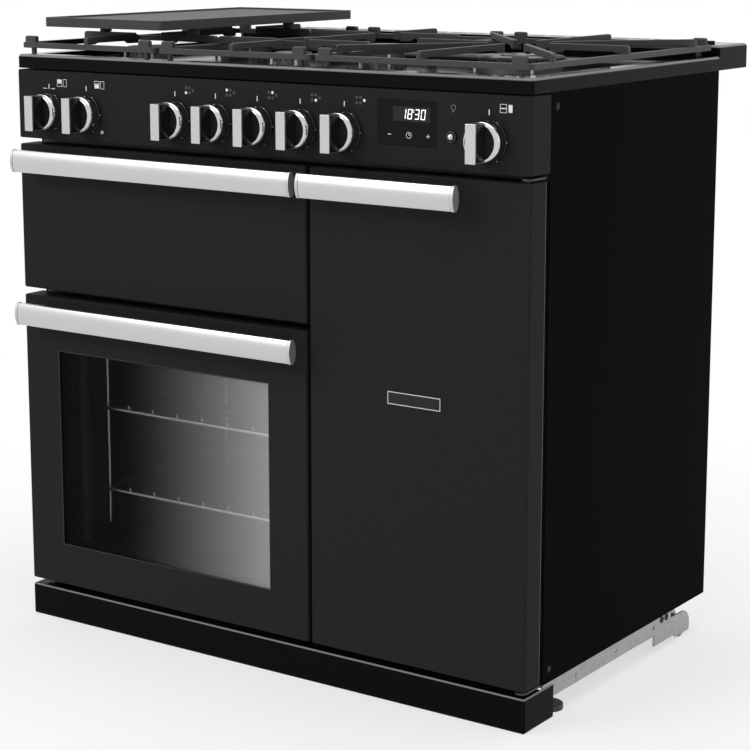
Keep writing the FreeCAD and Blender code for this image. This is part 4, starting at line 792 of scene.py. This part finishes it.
@dataclass
class CarriedNodes:
    """CAD nodes that show their own mesh, each in its finish."""

    inside: tuple[str, ...] = ("front_frame", "main_oven_cavity", "grill_cavity",
                               "tall_oven_cavity", "fan_covers", "grill_pan", "grill_door_liner",
                               "main_door_liner", "tall_door_liner")
    zinc: tuple[str, ...] = ("base_tray", "rear_panel")
    steel: tuple[str, ...] = ("control_spindles", "gas_pipes", "main_oven_fan", "tall_oven_fan",
                              "fan_motors")

    def dress(self) -> None:
        """Gives each node its material."""
        single = {"door_seals": Look.SEAL_ROPE, "clock_module": Look.DARK_PLASTIC,
                  "terminal_box": Look.DARK_PLASTIC, "spark_electrodes": Look.CERAMIC,
                  "heating_elements": Look.ELEMENT, "main_door_glass": Look.WINDOW,
                  "lenses": Look.LENSES, "door_hinges": Look.DARK_STEEL}
        looks = {node: Look.OVEN_ENAMEL for node in self.inside}
        looks.update({node: Look.ZINC for node in self.zinc})
        looks.update({node: Look.PLAIN_STEEL for node in self.steel})
        looks.update(single)
        for node, look in looks.items():
            self.paint(node, look)

    def paint(self, node: str, look: Look) -> None:
        """Puts a finish in a node's material slots."""
        carried = frame["nodes"][node]
        if not carried.material_slots:
            carried.data.materials.append(PAINT.of(look))
        for place in carried.material_slots:
            place.material = PAINT.of(look)
        log.info("node %s in %s", node, look.name.lower())


@dataclass
class BodyShell:
    """Doors, fascia, hob tray, sides, plinth and underframe."""

    screw_ease: float = 0.0003

    def build(self) -> None:
        """Makes each piece of the shell."""
        looks = {
            Look.SATIN_BLACK: ("grill_door_panel", "main_door_panel", "tall_door_panel",
                               "control_panel"),
            Look.SHADED_SIDE_BLACK: ("side_panel_left", "side_panel_right"),
            Look.GLOSS_ENAMEL: ("hob_tray", "rear_vent_trim"),
            Look.PLINTH_ENAMEL: ("plinth",),
            Look.ZINC: ("base_rails",),
            Look.DARK_STEEL: ("levelling_feet",),
            Look.BLACK_SCREW: ("body_screws",),
            Look.ROLLER_PLASTIC: ("rear_roller_left", "rear_roller_right"),
        }
        for look, nodes in looks.items():
            for node in nodes:
                ease = self.screw_ease if look is Look.BLACK_SCREW else 0.0
                EasedNode(node, look, ease).build()


@dataclass
class HobTop:
    """Burners, pan supports and the griddle plate."""

    cast_ease: float = 0.0011
    griddle_ease: float = 0.0014
    griddle_steps: int = 3

    def build(self) -> None:
        """Makes each piece on the hob."""
        for node in ("burner_cups", "flame_rings"):
            EasedNode(node, Look.CAST_ALUMINIUM).build()
        EasedNode("burner_caps", Look.CAP_ENAMEL).build()
        for side in ("left", "centre", "right"):
            EasedNode("pan_support_" + side, Look.CAST_IRON, self.cast_ease).build()
        EasedNode("griddle_plate", Look.CAST_IRON, self.griddle_ease, self.griddle_steps).build()


@dataclass
class OvenWires:
    """Shelves, side ladders and the upturned wire ends at the front of the main oven's shelves."""

    tip_radius: float = 0.0017
    tip_height: float = 0.0085
    tip_ease: float = 0.4
    tip_steps: int = 12
    level_step: float = 0.06
    front_band: float = 0.0068
    intervals: int = 8

    def build(self) -> None:
        """Makes the wires and the tips."""
        for node in ("wire_racks", "shelf_ladders"):
            EasedNode(node, Look.WIRE_CHROME).build()
        self.tips()

    def shelf_fronts(self) -> list[Edges]:
        """Front bars of the main oven's shelves, found on the CAD racks.

        Returns:
            Left end, right end, depth position and level of each bar.
        """
        low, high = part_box("main_oven_cavity")
        found: dict[int, list[Vector]] = {}
        for vertex in frame["nodes"]["wire_racks"].data.vertices:
            place = vertex.co
            if low.x < place.x < high.x and low.z < place.z < high.z:
                found.setdefault(round(place.z / self.level_step), []).append(place)
        fronts = []
        for places in found.values():
            front = min(place.y for place in places)
            edge = [place for place in places if place.y < front + self.front_band]
            level = (min(place.z for place in edge) + max(place.z for place in edge)) / 2.0
            ends = min(place.x for place in edge), max(place.x for place in edge)
            fronts.append((*ends, front, level))
        return fronts

    def tips(self) -> None:
        """Makes one upturned end at each wire of each shelf."""
        form = Form("shelf_wire_tips", "cooker", slot_of("wire_racks"))
        radius = self.tip_radius
        for left, right, front, level in self.shelf_fronts():
            for index in range(1, self.intervals):
                across = left + (right - left) * index / self.intervals
                foot = (across, front + radius * 2.0, level)
                head = (across, front + radius * 2.0, level + self.tip_height)
                tip = bar(foot, head, radius, self.tip_steps, radius * self.tip_ease)
                form.add(tip, Look.WIRE_CHROME)
        form.finish()


# ------------------------------------------------------------------ knobs
@dataclass
class Knob:
    """Control knob: dark skirt with ticks, chrome ring, fluted disc and a satin-faced blade."""

    node: str
    facets: int = 72
    bore: float = 0.0041
    skirt_depth: float = 0.0046
    skirt_foot: tuple[Pair, ...] = ((0.0020, 0.0), (0.0014, 0.0006))
    skirt_crown: tuple[Pair, ...] = ((0.0003, 0.0015), (0.0010, 0.0004), (0.0030, 0.0))
    ring_depth: float = 0.0230
    disc_depth: float = 0.0190
    disc_inset: float = 0.0075
    disc_ring: float = 0.9
    bore_lip: float = 0.002
    bore_drop: float = 0.0005
    flutes: int = 36
    flute_depth: float = 0.0007
    flute_start: float = 0.5
    flute_end: float = 0.95
    level_slack: float = 0.0002
    plate_thick: float = 0.0032
    plate_ease: float = 0.0007
    plate_gap: float = 0.0001
    core_side: float = 0.0020
    core_ease: float = 0.0006
    core_sink: float = 0.0012
    cheek_side: float = 0.0009
    cheek_end: float = 0.0070
    cheek_ease: float = 0.0010
    rib_thick: float = 0.0014
    rib_side: float = 0.0004
    rib_ease: float = 0.0004
    tick_count: int = 6
    tick_half: float = 0.00045
    tick_top: float = 0.75
    tick_foot: float = 0.3
    tick_inset: float = 0.0006
    tick_proud: float = 0.00012
    ring_inset: float = 0.0006
    ring_wide: float = 0.0058
    lip_deep: float = 0.0100
    lip_edge: float = 0.0009
    lip_steps: int = 14
    blade_trim: float = 0.0009

    def __post_init__(self) -> None:
        """Takes the knob's place and reach from its CAD node."""
        low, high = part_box(self.node)
        across, up = middle_of(self.node)
        self.middle = Vector((across, high.y, up))
        self.radius = (high.x - low.x) / 2.0
        self.reach = high.y - low.y
        self.blade_half = 0.0
        self.blade_side = 0.0
        for vertex in frame["nodes"][self.node].data.vertices:
            if vertex.co.y < low.y + self.plate_thick * 0.5:
                self.blade_half = max(self.blade_half, vertex.co.z - self.middle.z)
                self.blade_side = max(self.blade_side, vertex.co.x - self.middle.x)

    def at(self, across: float, depth: float, up: float) -> Point:
        """A point from the knob's middle, depth counted outwards from its back."""
        return self.middle.x + across, self.middle.y - depth, self.middle.z + up

    def turn(self, angle: float) -> Matrix:
        """Turn about the knob's axis."""
        stand = Matrix.Translation(self.middle)
        return stand @ Matrix.Rotation(angle, 4, "Y") @ stand.inverted()

    def skirt(self) -> bmesh.types.BMesh:
        """Dark skirt behind the ring."""
        depth = self.skirt_depth
        foot = [(self.radius - inset, rise) for inset, rise in self.skirt_foot]
        crown = [(self.radius - inset, depth - drop) for inset, drop in self.skirt_crown]
        outline = [(self.bore, 0.0), *foot, *crown, (self.bore, depth)]
        return lathed(outline, self.middle, OUT_OF_DOOR, self.facets)

    def ring(self) -> bmesh.types.BMesh:
        """Chrome ring with a broad rounded lip."""
        outer, back = self.radius - self.ring_inset, self.skirt_depth
        outline = [(outer - self.ring_wide - self.lip_edge, back), (outer, back)]
        for index in range(self.lip_steps + 1):
            angle = FULL_TURN / 4.0 * index / self.lip_steps
            outline.append((outer - self.ring_wide * (1.0 - math.cos(angle)),
                            self.ring_depth - self.lip_deep * (1.0 - math.sin(angle))))
        outline.append((outer - self.ring_wide - self.lip_edge, self.ring_depth - self.lip_edge))
        return lathed(outline, self.middle, OUT_OF_DOOR, self.facets)

    def disc(self) -> bmesh.types.BMesh:
        """Dark disc inside the ring, with flutes that run out from its middle."""
        edge = self.radius - self.disc_inset
        back, front = self.skirt_depth, self.disc_depth
        outline = ((self.bore, back), (edge, back), (edge, front), (edge * self.disc_ring, front),
                   (self.bore + self.bore_lip, front), (self.bore, front - self.bore_drop))
        shape = lathed(outline, self.middle, OUT_OF_DOOR, self.flutes * 2)
        for vertex in shape.verts:
            offset = vertex.co - self.middle
            away = math.hypot(offset.x, offset.z)
            in_ring = edge * self.flute_start < away < edge * self.flute_end
            if -offset.y > front - self.level_slack and in_ring:
                step = round(math.atan2(offset.z, offset.x) / (FULL_TURN / (self.flutes * 2)))
                vertex.co.y += self.flute_depth * (step % 2)
        return shape

    def block(self, side: float, half: float, span: Pair, ease: float) -> bmesh.types.BMesh:
        """Eased block in the middle of the blade.

        Args:
            side: half of its width.
            half: half of its height.
            span: depth of its front and of its back.
            ease: rounding of its edges.

        Returns:
            The shape.
        """
        return slab(self.at(-side, span[0], -half), self.at(side, span[1], half), ease)

    def blade(self, form: Form) -> None:
        """Adds the upright blade: dark core, satin face plate and thin satin ends."""
        side, half = self.blade_side - self.blade_trim, self.blade_half
        gap, back = self.plate_gap, self.disc_depth - self.core_sink
        plate_back = self.reach - self.plate_thick
        plate = self.block(side, half, (self.reach, plate_back), self.plate_ease)
        form.add(plate, Look.SATIN_PLATE)
        inset = half - self.rib_thick
        core = (plate_back + gap * 2.0, back)
        form.add(self.block(side - self.core_side, inset, core, self.core_ease), Look.KNOB_BLACK)
        cheek = self.block(side - self.cheek_side, half - self.cheek_end, (plate_back + gap, back),
                           self.cheek_ease)
        form.add(cheek, Look.KNOB_BLACK)
        end_side = side - self.rib_side
        for way in (-1.0, 1.0):
            near_end, far_end = sorted((way * inset, way * half))
            form.add(slab(self.at(-end_side, plate_back + gap * 3.0, near_end),
                          self.at(end_side, self.ring_depth - self.core_sink, far_end),
                          self.rib_ease), Look.SATIN_PLATE)

    def ticks(self, form: Form) -> None:
        """Adds the small white ticks round the skirt."""
        half, depth = self.tick_half, self.skirt_depth
        for index in range(self.tick_count):
            tick = slab(self.at(-half, depth * self.tick_top, self.radius - self.tick_inset),
                        self.at(half, depth * self.tick_foot, self.radius - self.tick_proud))
            place = self.turn(FULL_TURN * (index + 0.5) / self.tick_count)
            form.add(moved(tick, place), Look.WHITE_INK)

    def build(self) -> None:
        """Makes the knob."""
        form = Form(self.node + "_dressed", body_of(self.node), slot_of(self.node))
        form.add(self.skirt(), Look.KNOB_BLACK)
        form.add(self.ring(), Look.CHROME)
        form.add(self.disc(), Look.DISC_BLACK)
        self.blade(form)
        self.ticks(form)
        form.finish(self.node)


# ------------------------------------------------------------------ handles
@dataclass
class DoorHandle:
    """Handle bar of lens-shaped section with two end caps on two posts."""

    node: str
    door: str
    flat: float = 0.007
    bulge: float = 0.004
    cap: float = 0.0045
    cap_edge: float = 0.0006
    post: float = 0.0065
    post_inset: float = 0.032
    post_sink: float = 0.002
    post_steps: int = 32
    arc_steps: int = 14
    bar_ease: float = 0.0002
    cap_ease: float = 0.0005
    seam: float = 0.0004
    seam_lap: float = 0.0002
    seam_inset: float = 0.0008

    def __post_init__(self) -> None:
        """Takes the bar's place from its CAD node."""
        low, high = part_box(self.node)
        self.left, self.right = low.x, high.x
        self.low = low.z + self.cap_edge
        self.high = high.z - self.cap_edge
        self.face = low.y + self.cap_edge
        self.door_face = face_of(self.door)

    def outline(self, across: float, grow: float) -> list[Point]:
        """Section of the bar at a place along it, grown by a margin."""
        middle = (self.low + self.high) / 2.0
        half = (self.high - self.low) / 2.0 + grow
        front_flat = self.face + self.bulge
        back_flat = front_flat + self.flat
        depth = self.bulge + grow
        corners = []
        for way, start in ((1.0, front_flat), (-1.0, back_flat)):
            for index in range(self.arc_steps + 1):
                share = way * (index / self.arc_steps * 2.0 - 1.0)
                bulged = start - way * depth * (1.0 - share * share)
                corners.append((across, bulged, middle + share * half))
        return corners

    def build(self) -> None:
        """Makes the handle."""
        form = Form(self.node + "_dressed", body_of(self.node), slot_of(self.node))
        run = self.right - self.left - (self.cap + self.seam) * 2.0
        start = self.left + self.cap + self.seam
        length = prism(self.outline(start, 0.0), (run, 0.0, 0.0))
        form.add(eased(length, self.bar_ease, 1), Look.SATIN_ALUMINIUM)
        for across in (self.left, self.right - self.cap):
            cap = prism(self.outline(across, self.cap_edge), (self.cap, 0.0, 0.0))
            form.add(eased(cap, self.cap_ease), Look.CAP_SATIN)
        lap = self.seam_lap
        for across in (self.left + self.cap - lap, start + run - lap):
            core = prism(self.outline(across, -self.seam_inset), (self.seam + lap * 2.0, 0.0, 0.0))
            form.add(core, Look.KNOB_BLACK)
        level = (self.low + self.high) / 2.0
        back = self.face + self.bulge * 2.0 + self.flat - self.post_sink
        for across in (self.left + self.post_inset, self.right - self.post_inset):
            post = bar((across, back, level), (across, self.door_face, level), self.post,
                       self.post_steps)
            form.add(post, Look.CAP_SATIN)
        form.finish(self.node)


# ------------------------------------------------------------------ marks on the fascia
class OvenPart(Enum):
    """The oven that a cooker sign picks out."""

    GRILL = "grill"
    MAIN = "main"
    TALL = "tall"


@dataclass
class FasciaMarks:
    """White print on the fascia: ticks over the knobs, cooker signs and five-ring hob signs."""

    tick_rise: float = 0.0375
    tick_half: float = 0.0036
    line: float = 0.0006
    tick_wide: float = 1.2
    ink: float = 0.00012
    sign_rise: float = 0.0435
    hob_sign_shift: float = 0.0268
    hob_ring: float = 0.0017
    hob_dot: float = 0.0021
    hob_line: float = 0.7
    hob_steps: int = 20
    hob_rings: tuple[Pair, ...] = ((-2.0, -1.0), (-2.0, 1.0), (0.0, 1.0), (0.0, -1.0), (2.0, 0.0))
    hob_step_x: float = 0.0031
    hob_step_z: float = 0.0036
    cooker_shift: float = 0.0275
    cooker_half: float = 0.0056
    cooker_left: float = 0.0112
    cooker_right: float = 0.0070
    cooker_gap: float = 0.0022
    shelf_rise: float = 0.25
    shelf_drop: float = 0.1
    dash_start: float = 0.0042
    dash_end: float = 0.0120
    dash_thick: float = 1.5

    def __post_init__(self) -> None:
        """Takes the fascia's face from the clock's glass, which is flush with it."""
        self.face = face_of("display_window")
        self.form = Form("fascia_marks", "cooker", slot_of("control_panel"))

    def fill(self, x0: float, x1: float, z0: float, z1: float) -> None:
        """Adds a filled rectangle of print."""
        self.form.add(slab((x0, self.face - self.ink, z0), (x1, self.face, z1)), Look.WHITE_INK)

    def box(self, x0: float, x1: float, z0: float, z1: float) -> None:
        """Adds an outlined rectangle of print."""
        for strip in border(x0, x1, z0, z1, self.line):
            self.fill(*strip)

    def dot(self, x: float, z: float, filled: bool) -> None:
        """Adds one ring of a hob sign, or a dot where it is filled."""
        centre = (x, self.face, z)
        if filled:
            front = (x, self.face - self.ink, z)
            self.form.add(bar(centre, front, self.hob_dot, self.hob_steps), Look.WHITE_INK)
        else:
            inner = self.hob_ring - self.line * self.hob_line
            ring = washer(centre, self.hob_ring, inner, self.ink, self.hob_steps)
            self.form.add(ring, Look.GREY_INK)

    def hob_sign(self, x: float, z: float, burner: int) -> None:
        """Adds a five-ring sign.

        Args:
            x: middle of the sign.
            z: level of the sign.
            burner: which ring is filled, in the order of the knobs.
        """
        for index, (across, up) in enumerate(self.hob_rings):
            self.dot(x + across * self.hob_step_x, z + up * self.hob_step_z, index == burner)

    def cooker_sign(self, x: float, z: float, part: OvenPart) -> None:
        """Adds a small sign of the cooker with one oven filled."""
        low, high = z - self.cooker_half, z + self.cooker_half
        left, split = x - self.cooker_left, x + self.cooker_gap / 2.0
        rises = {OvenPart.GRILL: -self.shelf_drop, OvenPart.MAIN: self.shelf_rise}
        shelf = z + self.cooker_half * rises.get(part, 0.0)
        ovens = {OvenPart.MAIN: (left, split - self.cooker_gap, low, shelf),
                 OvenPart.GRILL: (left, split - self.cooker_gap, shelf, high),
                 OvenPart.TALL: (split, split + self.cooker_right, low, high)}
        for edges in ovens.values():
            self.box(*edges)
        self.fill(*ovens[part])

    def build(self) -> None:
        """Makes all the print."""
        signs = {"knob_grill": OvenPart.GRILL, "knob_main_oven": OvenPart.MAIN,
                 "knob_tall_oven": OvenPart.TALL}
        burners = ("knob_left_front", "knob_left_rear", "knob_centre_rear", "knob_centre_front",
                   "knob_wok")
        half, wide = self.tick_half, self.line * self.tick_wide
        for node in (*signs, *burners):
            x, z = middle_of(node)
            tick = z + self.tick_rise
            self.fill(x - wide, x + wide, tick - half, tick + half)
            if node in burners:
                self.hob_sign(x + self.hob_sign_shift, z + self.sign_rise, burners.index(node))
            else:
                self.cooker_sign(x + self.cooker_shift, z + self.sign_rise, signs[node])
        x, z = middle_of("knob_grill")
        foot = z + self.tick_rise - half
        for way in (-1.0, 1.0):
            near_end, far_end = sorted((x + way * self.dash_start, x + way * self.dash_end))
            self.fill(near_end, far_end, foot, foot + self.line * self.dash_thick)
        self.form.finish()


@dataclass
class ClockFace:
    """A dark pane with lit digits, the touch signs under it and the bulb sign beside them."""

    time: str = "1830"
    digit_height: float = 0.0135
    digit_width: float = 0.0070
    stroke: float = 0.0012
    joint: float = 0.3
    lean: float = 0.12
    pitch: float = 0.0098
    layer: float = 0.00012
    foot_drop: float = 0.02545
    left_shift: float = 0.0086
    digit_shifts: Edges = (0.0008, 0.0008, 0.0022, 0.0022)
    colon_shift: float = -0.0006
    colon_rises: Pair = (0.68, 0.86)
    pane_left: float = 0.0125
    pane_right: float = 0.0075
    pane_foot: float = 0.0032
    pane_head: float = 0.0030
    pane_back: float = 0.0002
    pane_layer: float = 0.4
    signs_rise: float = 0.0147
    signs_shift: float = 0.0022
    sign_line: float = 0.42
    sign_half: float = 0.0026
    minus_left: float = 0.0310
    plus_right: float = 0.0306
    dial: Pair = (0.0043, 0.0037)
    hand_line: float = 0.8
    long_hand: float = 0.0028
    short_hand: float = 0.0020
    bulb_right: float = 0.0244
    bulb_drop: float = 0.0065
    bulb_glass: Pair = (0.0036, 0.0031)
    bulb_steps: int = 28
    cap_drops: Pair = (0.0046, 0.0058)
    cap_half: float = 0.0014
    cap_line: float = 0.0003

    def __post_init__(self) -> None:
        """Takes the window's place from its CAD node."""
        self.low, self.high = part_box("display_window")
        self.face = self.low.y
        self.form = Form("clock_face", "cooker", slot_of("display_window"))

    def mark(self, edges: Edges, foot: float, look: Look) -> None:
        """Adds one stroke, leaning to the right above its foot.

        Args:
            edges: its left, right, lower and upper edge before it leans.
            foot: the level where it doesn't lean.
            look: its finish.
        """
        front, back = self.face - self.layer * 2.0, self.face - self.layer * 0.5
        shape = slab((edges[0], front, edges[2]), (edges[1], back, edges[3]))
        for vertex in shape.verts:
            vertex.co.x += (vertex.co.z - foot) * self.lean
        self.form.add(shape, look)

    def digit(self, value: str, x: float, z: float) -> None:
        """Adds a seven-stroke digit.

        Args:
            value: the digit.
            x: its left edge.
            z: its foot.
        """
        strokes = {"0": "abcdef", "1": "bc", "3": "abgcd", "8": "abcdefg"}[value]
        wide, tall, thick = self.digit_width, self.digit_height, self.stroke
        gap, middle, right = thick * self.joint, z + tall / 2.0, x + wide - thick
        level = {"a": z + tall - thick, "g": middle - thick / 2.0, "d": z}
        upright = {"f": (x, middle), "b": (right, middle), "e": (x, z), "c": (right, z)}
        edges = {name: (x + gap * 2.0, x + wide - gap * 2.0, low, low + thick)
                 for name, low in level.items()}
        edges.update({name: (left, left + thick, low + gap, low + tall / 2.0 - gap)
                      for name, (left, low) in upright.items()})
        for name in edges:
            if name in strokes:
                self.mark(edges[name], z, Look.LIT_DIGIT)

    def signs(self) -> None:
        """Adds the minus, clock and plus signs."""
        level = self.low.z + self.signs_rise
        middle = (self.low.x + self.high.x) / 2.0 + self.signs_shift
        thin, half, plus = self.stroke * self.sign_line, self.sign_half, middle + self.plus_right
        hand = thin * self.hand_line
        for x in (middle - self.minus_left, plus):
            self.mark((x - half, x + half, level - thin, level + thin), level, Look.WHITE_INK)
        self.mark((plus - thin, plus + thin, level - half, level + half), level, Look.WHITE_INK)
        ring = washer((middle, self.face, level), *self.dial, self.layer * 2.0)
        self.form.add(ring, Look.WHITE_INK)
        for edges in ((middle - hand, middle + hand, level, level + self.long_hand),
                      (middle, middle + self.short_hand, level - hand, level + hand)):
            self.mark(edges, level, Look.WHITE_INK)

    def bulb(self) -> None:
        """Adds the bulb sign right of the window."""
        x, z = self.high.x + self.bulb_right, self.high.z - self.bulb_drop
        half, line = self.cap_half, self.cap_line
        ring = washer((x, self.face, z), *self.bulb_glass, self.layer * 2.0, self.bulb_steps)
        self.form.add(ring, Look.GREY_INK)
        for drop in self.cap_drops:
            self.mark((x - half, x + half, z - drop - line, z - drop + line), z, Look.GREY_INK)

    def build(self) -> None:
        """Makes the clock's face."""
        foot = self.high.z - self.foot_drop
        left = (self.low.x + self.high.x) / 2.0 - self.pitch * 2.0 + self.left_shift
        pane_low = (left - self.pane_left, self.face - self.layer * self.pane_layer,
                    foot - self.pane_foot)
        pane_high = (left + self.pitch * 4.0 + self.pane_right, self.face + self.pane_back,
                     foot + self.digit_height + self.pane_head)
        self.form.add(slab(pane_low, pane_high), Look.DISPLAY_PANE)
        for index, value in enumerate(self.time):
            self.digit(value, left + index * self.pitch + self.digit_shifts[index], foot)
        x = left + self.pitch * 2.0 + self.colon_shift
        for rise in self.colon_rises:
            z = foot + self.digit_height * rise
            self.mark((x, x + self.stroke, z, z + self.stroke), foot, Look.LIT_DIGIT)
        self.signs()
        self.bulb()
        self.form.finish()


@dataclass
class ClockWindow:
    """The clock's gloss window with a fine rim, and the chrome lamp button in its dark collar."""

    glass_ease: float = 0.0004
    collar_bore: float = 0.0051
    collar_wide: float = 0.0078
    collar_deep: float = 0.0032
    collar_edge: float = 0.0010
    collar_round: float = 0.3
    collar_steps: int = 48

    def build(self) -> None:
        """Makes the window, the button and its collar."""
        EasedNode("display_window", Look.DISPLAY_BLACK, self.glass_ease).build()
        EasedNode("lamp_button", Look.CHROME).build()
        across, up = middle_of("lamp_button")
        bore, wide, deep = self.collar_bore, self.collar_wide, self.collar_deep
        edge = self.collar_edge
        corner = edge * self.collar_round
        outline = ((bore, 0.0), (wide, 0.0), (wide, deep - edge), (wide - corner, deep - corner),
                   (wide - edge, deep), (bore + edge, deep), (bore, deep - edge))
        form = Form("lamp_button_collar", body_of("control_panel"), slot_of("control_panel"))
        ring = lathed(outline, (across, face_of("tall_door_panel"), up), OUT_OF_DOOR,
                      self.collar_steps)
        form.add(ring, Look.DARK_STEEL)
        form.finish()


@dataclass
class BlankPlate:
    """Plain plate on the tall oven's door: a satin rim round a dark field."""

    centre: Pair = (0.271, 0.437)
    half_width: float = 0.043
    half_height: float = 0.009
    thick: float = 0.0014
    field: float = 0.7
    rim: float = 0.0013
    rim_ease: float = 0.0002

    def build(self) -> None:
        """Makes the plate."""
        face = face_of("tall_door_panel")
        form = Form("blank_door_plate", body_of("tall_door_panel"), slot_of("tall_door_panel"))
        x, z = self.centre
        wide, tall, rim = self.half_width, self.half_height, self.rim
        form.add(slab((x - wide + rim, face - self.thick * self.field, z - tall + rim),
                      (x + wide - rim, face, z + tall - rim)), Look.DISPLAY_PANE)
        for x0, x1, z0, z1 in border(x - wide, x + wide, z - tall, z + tall, rim):
            strip = slab((x0, face - self.thick, z0), (x1, face, z1), self.rim_ease)
            form.add(strip, Look.SATIN_PLATE)
        form.finish()


@dataclass
class WindowTrim:
    """Thin dark bead round the main oven's window."""

    wide: float = 0.0016
    proud: float = 0.0004
    sunk: float = 0.0014
    ease: float = 0.0003
    overlap: float = 0.014

    def build(self) -> None:
        """Makes the bead."""
        low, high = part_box("main_door_glass")
        lap = self.overlap
        edges = (low.x + lap, high.x - lap, low.z + lap, high.z - lap)
        face = face_of("main_door_panel")
        form = Form("window_bead", body_of("main_door_panel"), slot_of("main_door_panel"))
        for x0, x1, z0, z1 in border(*edges, self.wide):
            strip = slab((x0, face - self.proud, z0), (x1, face + self.sunk, z1), self.ease)
            form.add(strip, Look.KNOB_BLACK)
        form.finish()


# ------------------------------------------------------------------ studio
@dataclass
class Softbox:
    """One soft lamp."""

    name: str
    place: Point
    aim: Point
    width: float
    height: float
    power: float

    def build(self) -> None:
        """Makes the lamp."""
        data = bpy.data.lights.new(self.name, "AREA")
        data.shape = "RECTANGLE"
        data.size = self.width
        data.size_y = self.height
        data.energy = self.power
        lamp = linked(self.name, data)
        lamp.location = self.place
        ahead = Vector(self.aim) - Vector(self.place)
        lamp.rotation_euler = ahead.to_track_quat("-Z", "Y").to_euler()
        log.info("lamp %s, %.0f W", self.name, self.power)


@dataclass
class Studio:
    """White floor and background, soft lamps and the camera."""

    floor_side: float = 12.0
    floor_drop: float = 0.0002
    ambient: float = 0.62
    azimuth: float = 34.72
    elevation: float = 10.6
    camera_place: Point = (1.799, -2.593, 1.072)
    lens: float = 100.3
    sensor: float = 36.0
    shift: float = -0.08

    def floor(self) -> None:
        """Makes the floor."""
        shape = bmesh.new()
        bmesh.ops.create_grid(shape, x_segments=1, y_segments=1, size=self.floor_side / 2.0)
        moved(shape, Matrix.Translation((0.0, 0.0, -self.floor_drop)))
        data = bpy.data.meshes.new("studio_floor")
        shape.to_mesh(data)
        shape.free()
        data.materials.append(PAINT.of(Look.FLOOR))
        floor = linked("studio_floor", data)

    def background(self) -> None:
        """Makes the world white to the eye and in reflections, and an even light elsewhere."""
        world = bpy.data.worlds.new("studio_background")
        bpy.context.scene.world = world
        tree = FinishTree(world)
        path = tree.node("ShaderNodeLightPath", {}, {})
        rays = [Shade(tree, path.outputs[f"Is {kind} Ray"])
                for kind in ("Camera", "Glossy", "Transmission")]
        seen = (rays[0] + rays[1] + rays[2]).held()
        level = self.ambient + seen * (1.0 - self.ambient)
        tree.tree.nodes.new("ShaderNodeOutputWorld")
        light = {"Color": WHITE, "Strength": level}
        glow = tree.node("ShaderNodeBackground", {}, light)
        tree.tree.links.new(glow.outputs[0], tree.tree.nodes["World Output"].inputs[0])

    def lamps(self) -> None:
        """Makes the lamps."""
        for lamp in (
            Softbox("key_softbox", (-1.6, -3.2, 2.6), (0.0, -0.2, 0.45), 2.2, 1.4, 46.0),
            Softbox("top_softbox", (0.2, 0.3, 3.4), (0.0, 0.0, 0.0), 2.6, 2.2, 42.0),
            Softbox("side_strip", (3.4, 0.6, 1.9), (0.3, 0.0, 0.5), 0.7, 2.0, 3.0),
        ):
            lamp.build()

    def camera(self) -> None:
        """Makes the camera at the photograph's viewing angle."""
        data = bpy.data.cameras.new("photo_camera")
        data.sensor_width = self.sensor
        data.lens = self.lens
        data.shift_y = self.shift
        camera = linked("photo_camera", data)
        camera.location = self.camera_place
        turn, tilt = math.radians(self.azimuth), math.radians(self.elevation)
        level = math.cos(tilt)
        ahead = Vector((-math.sin(turn) * level, math.cos(turn) * level, -math.sin(tilt)))
        camera.rotation_euler = ahead.to_track_quat("-Z", "Y").to_euler()
        bpy.context.scene.camera = camera

    def build(self) -> None:
        """Makes the whole studio."""
        self.floor()
        self.background()
        self.lamps()
        self.camera()
        bpy.context.scene.view_settings.view_transform = "Standard"


def main() -> None:
    """Builds every sub-assembly and the studio round it."""
    logging.basicConfig(level=logging.INFO, format="%(name)s: %(message)s")
    CarriedNodes().dress()
    BodyShell().build()
    HobTop().build()
    OvenWires().build()
    knobs = ("grill", "main_oven", "left_front", "left_rear", "centre_rear", "centre_front",
             "wok", "tall_oven")
    for name in knobs:
        Knob("knob_" + name).build()
    for door in ("grill_door", "main_door", "tall_door"):
        DoorHandle(door + "_handle", door + "_panel").build()
    ClockWindow().build()
    FasciaMarks().build()
    ClockFace().build()
    WindowTrim().build()
    BlankPlate().build()
    Studio().build()


if __name__ == "__main__":
    main()
